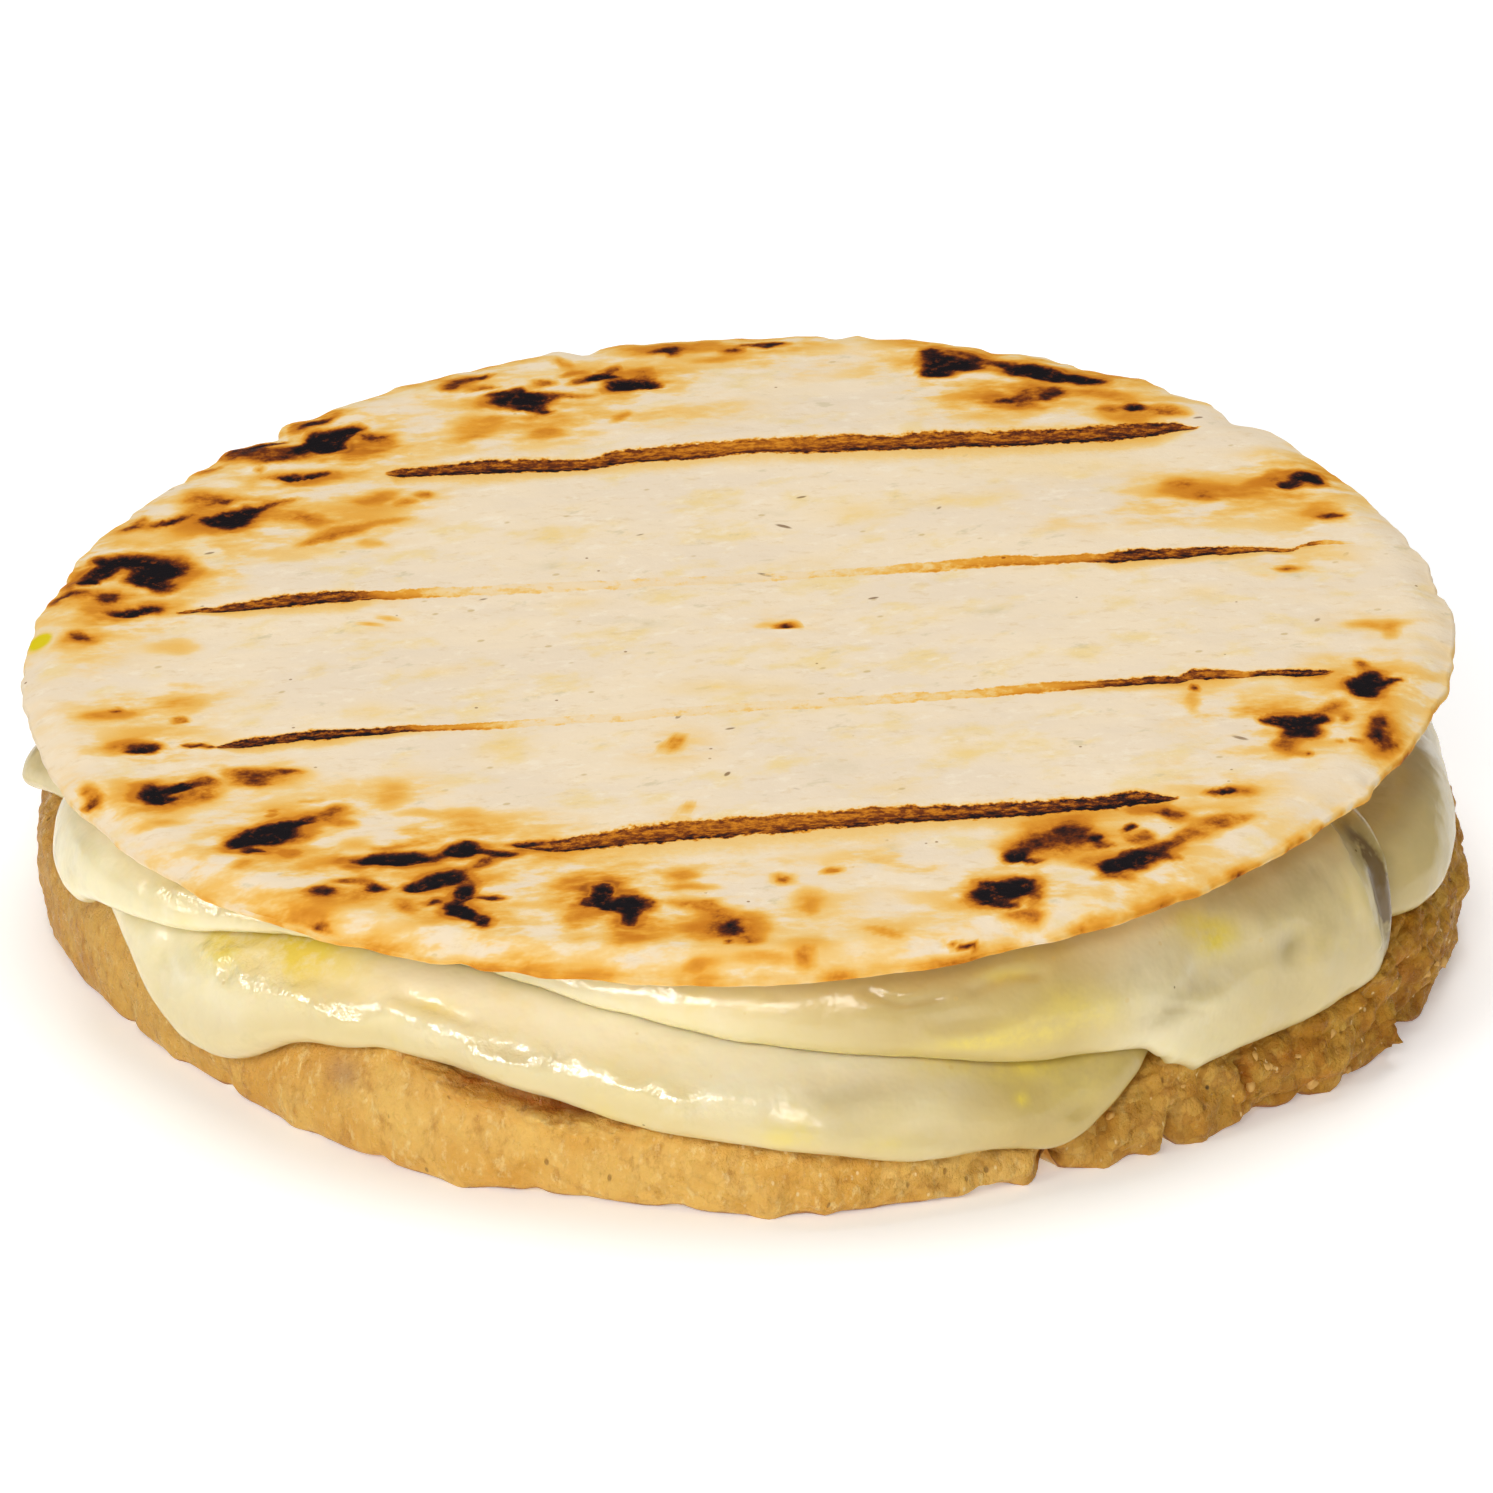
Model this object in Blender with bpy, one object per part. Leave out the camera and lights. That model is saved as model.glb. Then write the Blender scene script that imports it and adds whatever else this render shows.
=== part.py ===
"""Split corn cake filled with two slabs of melted cheese, lying flat.

Four pieces lie on each other: the thick lower half of the cake, a lower and an upper slab of
soft cheese that run through the whole filling and sag over the cake's edge, and the thin,
grilled upper half, which leans a little towards the front left.

Metres, +Z up. The origin is the middle of the flat underside, +X is the right-hand side and
-Y the front, where most of the cheese hangs out. Angles run anticlockwise from +X, seen from
above, so 270 degrees is the front. Each table round the cake holds rows of one angle in
degrees and the sizes there in millimetres, which change smoothly from row to row.
"""

import math
from functools import lru_cache

import bpy
from mathutils import Matrix, Vector

MM = 0.001
GAP = 0.35 * MM  # clearance between neighbouring pieces
SIDES = 60  # facets round each piece

# Lower half of the cake
BASE_RINGS = 20
BASE_MIDDLE_HEIGHT = 11.5 * MM
BASE_FOOT_ROUNDING = 1.4 * MM
BASE_LEVEL_SHARE = 0.45  # of the radius over which the torn face is as high as in its middle
# Places on its section, which run from 1, mid-top, to -1, mid-under
EDGE_PLACE = 0.4  # where the rounded edge starts
WALL_PLACE = -0.1  # where the wall is upright
FOOT_PLACE = -0.4  # where the foot meets the floor
# Angle: outermost radius, height of the torn edge, height where the wall is upright, width of
# the rounded edge
BASE_ROUND = (
    (0, 54.8, 10.6, 5.6, 3.4),
    (45, 54.4, 10.2, 5.4, 3.2),
    (95, 53.6, 10.0, 5.2, 3.2),
    (140, 54.2, 10.4, 5.6, 3.0),
    (170, 54.9, 11.4, 7.4, 2.8),
    (184, 54.9, 11.5, 7.8, 2.8),
    (197, 53.5, 10.7, 6.1, 3.2),
    (210, 52.0, 9.8, 3.4, 3.8),
    (222, 51.8, 9.2, 2.6, 4.2),
    (232, 52.6, 9.5, 2.8, 4.4),
    (244, 53.6, 9.7, 2.4, 4.2),
    (257, 53.0, 8.9, 2.2, 4.4),
    (271, 54.4, 7.4, 2.0, 4.4),
    (282, 53.9, 7.0, 2.0, 4.4),
    (294, 52.5, 7.4, 1.8, 4.4),
    (304, 52.8, 8.2, 2.6, 4.4),
    (318, 54.0, 8.6, 3.4, 4.0),
    (334, 55.8, 10.0, 5.0, 3.6),
    (348, 55.4, 10.6, 5.6, 3.4),
)

# Upper half of the cake
LID_RINGS = 14
LID_MIDDLE = Vector((-1.1 * MM, 0.0, 22.2 * MM))
LID_RIM_THICKNESS = 1.8 * MM
LID_MIDDLE_THICKNESS = 3.2 * MM
LID_BACK_RISE = 1.5  # degrees
LID_RIGHT_RISE = 2.3  # degrees
LID_RIM_PLACE = 0.25  # place on its section where the rounded rim starts
LID_CROWN_SHARE = 0.55  # of the radius over which it is as thick as in its middle
# Angle: outermost radius
LID_ROUND = (
    (2, 55.2), (18, 54.3), (35, 54.0), (58, 55.0), (100, 55.4), (140, 54.9), (180, 55.1), (215, 55.0),
    (238, 55.0), (252, 54.5), (268, 55.0), (287, 55.3), (320, 55.1), (345, 55.4),
)

# Both slabs of cheese
RIM_PLACE = 0.5  # place on a slab's section where its rounded rim starts
LIP_PLACE = -0.2  # place where the rim ends at the lip
BELLY_SHARE = 0.22  # how high on its rim a slab reaches furthest out

# Lower slab of cheese
LOWER_RINGS = 22
EVEN_SHARE = 0.5  # of the filling's depth that it takes in the middle
EVEN_RADIUS = 10 * MM  # up to which that share holds
UNEVEN_RADIUS = 40 * MM  # from which the shares in the table hold
FALL_CLEARANCE = 1.7  # gaps that it keeps out from the lower half's rounded edge
FALL_WIDTH = 3 * MM  # over which that clearance grows by one more gap
# Angle: radius of the lip under the rim, swell of the rim past the lip, width of the rounded
# fall inside the rim, percentage of the filling's depth that the slab takes
LOWER_ROUND = (
    (0, 52.0, 1.6, 6.0, 58),
    (40, 51.0, 1.6, 6.0, 52),
    (80, 51.4, 1.6, 6.5, 48),
    (120, 51.8, 1.6, 6.5, 50),
    (160, 51.0, 1.6, 5.0, 46),
    (174, 51.5, 1.6, 5.0, 46),
    (180, 54.7, 1.6, 5.0, 52),
    (187, 50.4, 1.4, 5.0, 46),
    (196, 51.0, 1.7, 6.0, 46),
    (206, 51.65, 1.9, 7.5, 56),
    (212, 52.32, 2.0, 8.0, 61),
    (218, 52.42, 2.0, 8.5, 64),
    (224, 52.25, 2.0, 8.5, 66),
    (230, 51.4, 1.9, 8.3, 67),
    (236, 51.3, 1.8, 8.0, 67),
    (244, 51.1, 1.8, 8.0, 66),
    (249, 51.5, 1.8, 8.2, 64),
    (256, 51.9, 1.8, 8.5, 60),
    (270, 53.5, 1.8, 9.0, 52),
    (282, 54.0, 1.8, 9.0, 46),
    (291, 53.1, 1.8, 9.0, 42),
    (298, 52.9, 1.8, 8.0, 38),
    (303, 51.8, 1.6, 7.0, 34),
    (308, 49.0, 1.4, 6.0, 33),
    (318, 46.5, 1.4, 6.0, 34),
    (328, 49.0, 1.4, 5.0, 44),
    (338, 54.1, 1.4, 5.0, 54),
    (349, 53.9, 1.4, 5.0, 58),
)

# Upper slab of cheese
UPPER_RINGS = 28
# Angle: radius of the lip, swell of the rim, width of the rounded fall
UPPER_ROUND = (
    (0, 43.0, 1.5, 5.0),
    (40, 45.0, 1.5, 5.0),
    (90, 47.5, 1.5, 5.0),
    (140, 48.0, 1.5, 5.0),
    (176, 46.5, 1.5, 4.5),
    (188, 49.0, 1.6, 4.5),
    (196, 53.8, 1.8, 5.0),
    (206, 54.0, 1.8, 5.5),
    (216, 52.2, 1.8, 5.5),
    (228, 48.8, 1.5, 5.0),
    (242, 46.8, 1.4, 5.0),
    (256, 48.7, 1.3, 5.5),
    (270, 50.8, 1.3, 6.0),
    (285, 52.2, 1.4, 6.5),
    (298, 53.4, 1.6, 7.0),
    (304, 53.5, 1.7, 7.5),
    (310, 53.0, 1.7, 7.5),
    (317, 53.6, 1.6, 8.0),
    (324, 54.5, 1.6, 9.5),
    (330, 54.9, 1.6, 11.0),
    (333, 52.0, 1.6, 11.0),
    (337, 47.4, 1.5, 8.0),
    (344, 43.6, 1.5, 5.0),
)
NEARBY_STEPS = (-1, -0.5, 0, 0.5, 1)
NEARBY_REACH = 1.4 * MM  # how far round a spot the slab clears what lies under it
NEARBY_TURN = math.radians(6)
RAMP_SLOPE = 1.6  # how steeply the upper slab comes down past the lower one's rim

CORN_YELLOW = (0.72, 0.41, 0.10, 1.0)
CORN_WHITE = (0.83, 0.68, 0.47, 1.0)
CHEESE_CREAM = (0.88, 0.74, 0.42, 1.0)


@lru_cache(maxsize=None)
def sizes_at(angle, table):
    """The sizes at one angle, on a smooth closed curve through the table's rows."""
    degrees = math.degrees(angle) % 360
    after = next((i for i, row in enumerate(table) if row[0] > degrees), 0)
    rows = [table[(after + step) % len(table)] for step in (-2, -1, 0, 1)]
    places = [(row[0] - degrees + 180) % 360 - 180 for row in rows]
    share = -places[1] / (places[2] - places[1])
    sizes = []
    for before, low, high, beyond in zip(*(row[1:] for row in rows)):
        stretch = places[2] - places[1]
        rise_in = (high - before) / (places[2] - places[0]) * stretch
        rise_out = (beyond - low) / (places[3] - places[1]) * stretch
        blend = share * share * (3 - 2 * share)
        size = low + (high - low) * blend
        size += rise_in * share * (1 - share) ** 2 - rise_out * (1 - share) * share**2
        sizes.append(size * MM)
    return sizes


def smooth_step(low, high, value):
    share = min(max((value - low) / (high - low), 0), 1)
    return share * share * (3 - 2 * share)


def quarter_round(share):
    """Height of a quarter circle at a share of its width, from 1 at its top to 0 at its end."""
    return math.sqrt(max(1 - min(max(share, 0), 1) ** 2, 0))


# Lower half of the cake


def base_edge(angle):
    """(radius where the rounded edge starts, outermost radius, edge height, wall height)"""
    reach, height, wall, shoulder = sizes_at(angle, BASE_ROUND)
    return reach - shoulder, reach, height, wall


def base_plateau(radius, angle):
    """Height of the cake's torn top face, without its rounded edge."""
    start, _, height, _ = base_edge(angle)
    inwards = 1 - smooth_step(BASE_LEVEL_SHARE, 1.0, radius / start)
    return height + (BASE_MIDDLE_HEIGHT - height) * inwards


def base_top(radius, angle):
    """Height of the lower half's surface as seen from above."""
    start, reach, height, wall = base_edge(angle)
    if radius <= start:
        return base_plateau(radius, angle)
    return wall + (height - wall) * quarter_round((radius - start) / (reach - start))


def base_section(angle, place):
    """(radius, height) on the lower half's skin; place runs from 1, mid-top, to -1, mid-under."""
    start, reach, height, wall = base_edge(angle)
    if place > EDGE_PLACE:
        radius = start * (1 - place) / (1 - EDGE_PLACE)
        return radius, base_plateau(radius, angle)
    if place > WALL_PLACE:
        turn = (EDGE_PLACE - place) / (EDGE_PLACE - WALL_PLACE) * math.pi / 2
        return start + (reach - start) * math.sin(turn), wall + (height - wall) * math.cos(turn)
    if place > FOOT_PLACE:
        turn = (WALL_PLACE - place) / (WALL_PLACE - FOOT_PLACE) * math.pi / 2
        foot = BASE_FOOT_ROUNDING * (1 - math.cos(turn))
        return reach - foot, wall * (1 - math.sin(turn))
    return (reach - BASE_FOOT_ROUNDING) * (1 + place) / (1 + FOOT_PLACE), 0.0


# Upper half of the cake


def lid_section(angle, place):
    """(radius, height) on the upper half's skin before it is tilted, its middle plane at 0."""
    (reach,) = sizes_at(angle, LID_ROUND)
    half_rim = LID_RIM_THICKNESS / 2
    crown = (LID_MIDDLE_THICKNESS - LID_RIM_THICKNESS) / 2
    if abs(place) < LID_RIM_PLACE:
        turn = place / LID_RIM_PLACE * math.pi / 2
        return reach - half_rim * (1 - math.cos(turn)), half_rim * math.sin(turn)
    share = (1 - abs(place)) / (1 - LID_RIM_PLACE)
    height = half_rim + crown * (1 - smooth_step(LID_CROWN_SHARE, 1.0, share))
    return (reach - half_rim) * share, math.copysign(height, place)


def lid_tilt():
    back = Matrix.Rotation(math.radians(LID_BACK_RISE), 4, "X")
    right = Matrix.Rotation(-math.radians(LID_RIGHT_RISE), 4, "Y")
    return Matrix.Translation(LID_MIDDLE) @ right @ back


def lid_underside(radius, angle):
    """Height of the plane just under the upper half, which the filling stays below."""
    x, y = radius * math.cos(angle), radius * math.sin(angle)
    rise = math.tan(math.radians(LID_RIGHT_RISE)) * (x - LID_MIDDLE.x)
    rise += math.tan(math.radians(LID_BACK_RISE)) * (y - LID_MIDDLE.y)
    return LID_MIDDLE.z + rise - LID_MIDDLE_THICKNESS / 2


# Cheese


def lower_outline(angle):
    """(radius where the rim starts to fall, outermost radius, radius of the lip underneath)"""
    lip, swell, shoulder, _ = sizes_at(angle, LOWER_ROUND)
    return lip + swell - shoulder, lip + swell, lip


def upper_outline(angle):
    lip, swell, shoulder = sizes_at(angle, UPPER_ROUND)
    return lip + swell - shoulder, lip + swell, lip


def lower_plateau(radius, angle):
    """Height of the face between the two slabs."""
    share = sizes_at(angle, LOWER_ROUND)[3] / MM / 100
    share = EVEN_SHARE + (share - EVEN_SHARE) * smooth_step(EVEN_RADIUS, UNEVEN_RADIUS, radius)
    bottom = base_plateau(min(radius, base_edge(angle)[0]), angle) + GAP
    top = lid_underside(radius, angle) - GAP
    return bottom + (top - bottom) * share


def lower_ground(radius, angle):
    """What the lower slab lies on: the lower half, moved out and up by the clearance."""
    start = base_edge(angle)[0]
    outwards = GAP * (FALL_CLEARANCE + smooth_step(start, start + FALL_WIDTH, radius))
    return base_top(radius - outwards, angle) + GAP


def belly_height(top, lip_height):
    return lip_height + BELLY_SHARE * (top - lip_height)


def lower_top(radius, angle):
    """Height of the lower slab's surface as seen from above, falling away past its rim."""
    start, reach, lip = lower_outline(angle)
    if radius <= start:
        return lower_plateau(radius, angle)
    top = lower_plateau(start, angle)
    belly = belly_height(top, lower_ground(lip, angle))
    rim = belly + (top - belly) * quarter_round((radius - start) / (reach - start))
    return rim - RAMP_SLOPE * max(radius - reach, 0)


def upper_ground(radius, angle):
    """What the upper slab lies on: the lower slab where it reaches, and the lower half past it."""
    under = []
    for step in NEARBY_STEPS:
        near = max(radius + step * NEARBY_REACH, 0)
        under += [base_top(near, angle), lower_top(near, angle)]
        beside = angle + step * NEARBY_TURN
        under.append(lower_top(radius, round(beside, 6)))
    return max(under) + GAP


def slab_section(angle, place, outline, top_of, ground_of):
    """(radius, height) on a slab's skin; place runs from 1, mid-top, to -1, mid-under."""
    start, reach, lip = outline
    top, lip_height = top_of(start, angle), ground_of(lip, angle)
    belly = belly_height(top, lip_height)
    if place > RIM_PLACE:
        radius = start * (1 - place) / (1 - RIM_PLACE)
        return radius, top_of(radius, angle)
    if place > 0:
        turn = (RIM_PLACE - place) / RIM_PLACE * math.pi / 2
        return start + (reach - start) * math.sin(turn), belly + (top - belly) * math.cos(turn)
    if place > LIP_PLACE:
        turn = place / LIP_PLACE * math.pi / 2
        height = belly - (belly - lip_height) * math.sin(turn)
        return lip + (reach - lip) * math.cos(turn), height
    radius = lip * (1 - ((LIP_PLACE - place) / (1 + LIP_PLACE)) ** 2)
    return radius, ground_of(radius, angle)


def lower_section(angle, place):
    return slab_section(angle, place, lower_outline(angle), lower_plateau, lower_ground)


def upper_top(radius, angle):
    return lid_underside(radius, angle) - GAP


def upper_section(angle, place):
    return slab_section(angle, place, upper_outline(angle), upper_top, upper_ground)


# Building


def matte(name, colour, roughness):
    material = bpy.data.materials.new(name)
    material.use_nodes = True
    shader = material.node_tree.nodes["Principled BSDF"]
    shader.inputs["Base Color"].default_value = colour
    shader.inputs["Roughness"].default_value = roughness
    return material


def shaped_round(collection, name, section, rings, material, placing=None):
    """A unit ball whose rings are moved onto the sections of one piece."""
    bpy.ops.mesh.primitive_uv_sphere_add(segments=SIDES, ring_count=rings, radius=1)
    piece = bpy.context.object
    piece.name = name
    for vertex in piece.data.vertices:
        angle = round(math.atan2(vertex.co.y, vertex.co.x), 6)
        place = math.asin(min(max(vertex.co.z, -1), 1)) / (math.pi / 2)
        radius, height = section(angle, round(place, 6))
        vertex.co = Vector((radius * math.cos(angle), radius * math.sin(angle), height))
    if placing:
        piece.data.transform(placing)
    piece.data.materials.append(material)
    piece.data.shade_smooth()
    for holder in piece.users_collection:
        holder.objects.unlink(piece)
    collection.objects.link(piece)
    return piece


def main():
    for leftover in list(bpy.data.objects):
        bpy.data.objects.remove(leftover)
    cake = bpy.data.collections.new("corn_cake")
    bpy.context.scene.collection.children.link(cake)
    cheese = matte("melted_cheese", CHEESE_CREAM, 0.25)
    yellow_crumb = matte("corn_crumb", CORN_YELLOW, 0.55)
    white_crust = matte("grilled_crust", CORN_WHITE, 0.6)
    shaped_round(cake, "lower_half", base_section, BASE_RINGS, yellow_crumb)
    shaped_round(cake, "lower_cheese", lower_section, LOWER_RINGS, cheese)
    shaped_round(cake, "upper_cheese", upper_section, UPPER_RINGS, cheese)
    shaped_round(cake, "upper_half", lid_section, LID_RINGS, white_crust, lid_tilt())


main()
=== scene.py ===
"""Looks of the split corn cake filled with two slabs of melted cheese.

Each CAD piece is replaced by a finer one of the same shape: the crumbly lower half, the two
glossy slabs of cheese and the grilled upper half, with loose corn crumbs on the torn edge.

Metres, +Z up, -Y the front. Angles run anticlockwise from +X, seen from above. Each table
round the cake holds rows of one angle in degrees and the sizes there in millimetres.
"""

import math

import bmesh
import bpy
import numpy as np
from mathutils import Matrix, Vector, noise


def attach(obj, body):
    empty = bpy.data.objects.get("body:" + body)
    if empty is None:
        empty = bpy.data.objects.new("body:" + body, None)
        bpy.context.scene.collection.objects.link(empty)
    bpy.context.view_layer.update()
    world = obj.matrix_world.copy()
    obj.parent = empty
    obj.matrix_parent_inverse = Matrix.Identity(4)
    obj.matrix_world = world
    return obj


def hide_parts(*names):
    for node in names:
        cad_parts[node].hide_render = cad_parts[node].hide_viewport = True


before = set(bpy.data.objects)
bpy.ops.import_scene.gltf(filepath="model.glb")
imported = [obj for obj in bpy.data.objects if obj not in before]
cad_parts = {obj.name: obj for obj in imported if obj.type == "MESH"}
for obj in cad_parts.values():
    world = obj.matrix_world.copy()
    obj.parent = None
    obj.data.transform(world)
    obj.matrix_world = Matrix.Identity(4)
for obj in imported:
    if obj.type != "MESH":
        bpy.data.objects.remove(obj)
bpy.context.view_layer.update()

MM = 0.001
CLEARANCE = 0.35 * MM  # how far out the cheese keeps from the fall of what it lies on
SINK = 0.1 * MM  # how deep the cheese has melted into what it lies on

# Lower half: angle, outermost radius, height of the torn edge, height where the wall is
# upright, width of the rounded edge
BASE_ROUND = (
    (0, 54.8, 10.6, 5.6, 3.4), (45, 54.4, 10.2, 5.4, 3.2), (95, 53.6, 10, 5.2, 3.2),
    (140, 54.2, 10.4, 5.6, 3), (170, 54.9, 11.4, 7.4, 2.8), (184, 54.9, 11.5, 7.8, 2.8),
    (197, 53.5, 10.7, 6.1, 3.2), (210, 52, 9.8, 3.4, 3.8), (222, 51.8, 9.2, 2.6, 4.2),
    (232, 52.6, 9.5, 2.8, 4.4), (244, 53.6, 9.7, 2.4, 4.2), (257, 53, 8.9, 2.2, 4.4),
    (271, 54.4, 7.4, 2, 4.4), (282, 53.9, 7, 2, 4.4), (294, 52.5, 7.4, 1.8, 4.4),
    (304, 52.8, 8.2, 2.6, 4.4), (318, 54, 8.6, 3.4, 4), (334, 55.8, 10, 5, 3.6),
    (348, 55.4, 10.6, 5.6, 3.4),
)
BASE_MIDDLE_HEIGHT = 11.5 * MM
BASE_MIDDLE_SHARE = 0.45  # how far out, as a share of the flat top, it starts to change height
BASE_FOOT_ROUNDING = 1.4 * MM
# Where the edge, the foot and the underside start on its section
BASE_EDGE_FROM, BASE_FOOT_FROM, BASE_UNDER_FROM = 0.4, -0.1, -0.4
# Where the torn relief and the nicks of the foot set in, from the top's edge outwards
TORN_FROM, NICKED_FROM = (44, 47), (49, 51)
BASE_SIDES, BASE_RINGS = 720, 130
# How its rings are shared out: share of the rings, place on the section
BASE_PLACES = (
    (0, 1), (0.14, 0.42), (0.22, 0.3), (0.62, -0.1), (0.8, -0.38), (0.84, -0.41), (1, -1),
)

# Upper half: angle, outermost radius
LID_ROUND = (
    (2, 55.2), (18, 54.3), (35, 54), (58, 55), (100, 55.4), (140, 54.9), (180, 55.1), (215, 55),
    (238, 55), (252, 54.5), (268, 55), (287, 55.3), (320, 55.1), (345, 55.4),
)
LID_MIDDLE = Vector((-1.1 * MM, 0.0, 22.2 * MM))
LID_RIM_THICKNESS = 1.8 * MM
LID_MIDDLE_THICKNESS = 3.2 * MM
LID_CROWN_FROM = 0.55  # how far out, as a share of the radius, it starts to get thinner
LID_BACK_RISE = 1.5  # degrees
LID_RIGHT_RISE = 2.3  # degrees
LID_REACH, BUMPY_BAND = 55, (48, 55)  # its radius, and the band where its outline is uneven
LID_RIM_DEPTH = 0.3 * MM  # how far in the corners of the rim lie
LID_RIM_ROLL = 0.05  # how far in, as a share of the radius, the top starts to roll down
LID_BACK_DROP, LID_FRONT_DROP = 0.35, 1.3  # how far it rolls down, in millimetres
LID_EDGE_PLACE = 0.06  # the rim's upright edge reaches this far on the section, up and down
LID_SIDES, LID_RINGS = 640, 150
LID_PLACES = ((0, 1), (0.16, 0.44), (0.62, 0.06), (0.72, -0.06), (1, -1))

# Lower slab: angle, radius of the lip, swell of the rim past it, width of the rounded fall
# inside the rim, percentage of the filling's depth
LOWER_ROUND = (
    (0, 52, 1.6, 6, 58), (40, 51, 1.6, 6, 52), (80, 51.4, 1.6, 6.5, 48),
    (120, 51.8, 1.6, 6.5, 50), (160, 51, 1.6, 5, 46), (174, 51.5, 1.6, 5, 46),
    (180, 54.7, 1.6, 5, 52), (187, 50.4, 1.4, 5, 46), (196, 51, 1.7, 6, 46),
    (206, 51.65, 1.9, 7.5, 56), (212, 52.32, 2, 8, 61), (218, 52.42, 2, 8.5, 64),
    (224, 52.25, 2, 8.5, 66), (230, 51.4, 1.9, 8.3, 67), (236, 51.3, 1.8, 8, 67),
    (244, 51.1, 1.8, 8, 66), (249, 51.5, 1.8, 8.2, 64), (256, 51.9, 1.8, 8.5, 60),
    (270, 53.5, 1.8, 9, 52), (282, 54, 1.8, 9, 46), (291, 53.1, 1.8, 9, 42),
    (298, 52.9, 1.8, 8, 38), (303, 51.8, 1.6, 7, 34), (308, 49, 1.4, 6, 33),
    (318, 46.5, 1.4, 6, 34), (328, 49, 1.4, 5, 44), (338, 54.1, 1.4, 5, 54),
    (349, 53.9, 1.4, 5, 58),
)
# Upper slab: angle, radius of the lip, swell of the rim, width of the rounded fall
UPPER_ROUND = (
    (0, 43, 1.5, 5), (40, 45, 1.5, 5), (90, 47.5, 1.5, 5), (140, 48, 1.5, 5),
    (176, 46.5, 1.5, 4.5), (188, 49, 1.6, 4.5), (196, 53.8, 1.8, 5), (206, 54, 1.8, 5.5),
    (216, 52.2, 1.8, 5.5), (228, 48.8, 1.5, 5), (242, 46.8, 1.4, 5), (256, 48.7, 1.3, 5.5),
    (270, 50.8, 1.3, 6), (285, 52.2, 1.4, 6.5), (298, 53.4, 1.6, 7), (304, 53.5, 1.7, 7.5),
    (310, 53, 1.7, 7.5), (317, 53.6, 1.6, 8), (324, 54.5, 1.6, 9.5), (330, 54.9, 1.6, 11),
    (333, 52, 1.6, 11), (337, 47.4, 1.5, 8), (344, 43.6, 1.5, 5),
)
EVEN_FILLING = (10 * MM, 40 * MM)  # radii where the lower slab leaves half the filling's depth
EDGE_CLEARANCE, FALL_REACH = 1.1, 3 * MM  # more clearance past the top's edge, over that far
NEARBY_STEPS = (-1, -0.5, 0, 0.5, 1)
NEARBY_REACH = 1.0 * MM  # how far round a spot the upper slab clears what lies under it
NEARBY_TURN = math.radians(2.8)
RAMP_SLOPE = 1.6  # how steeply the upper slab comes down past the lower one's rim
BELLY_SHARE = 0.22  # how high on its rim a slab reaches furthest out
SLAB_RIM_FROM, SLAB_UNDER_FROM = 0.5, -0.2  # where its rim and underside start on its section
LIP_HEIGHT = 0.7  # how high above what it lies on a lip is oily, in millimetres
OPEN_BAND = (36, 44)  # radii over which a slab starts to show
SLAB_SIDES, SLAB_RINGS = 640, 140
SLAB_PLACES = ((0, 1), (0.1, 0.52), (0.55, 0), (0.75, -0.2), (0.82, -0.35), (1, -1))

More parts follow.
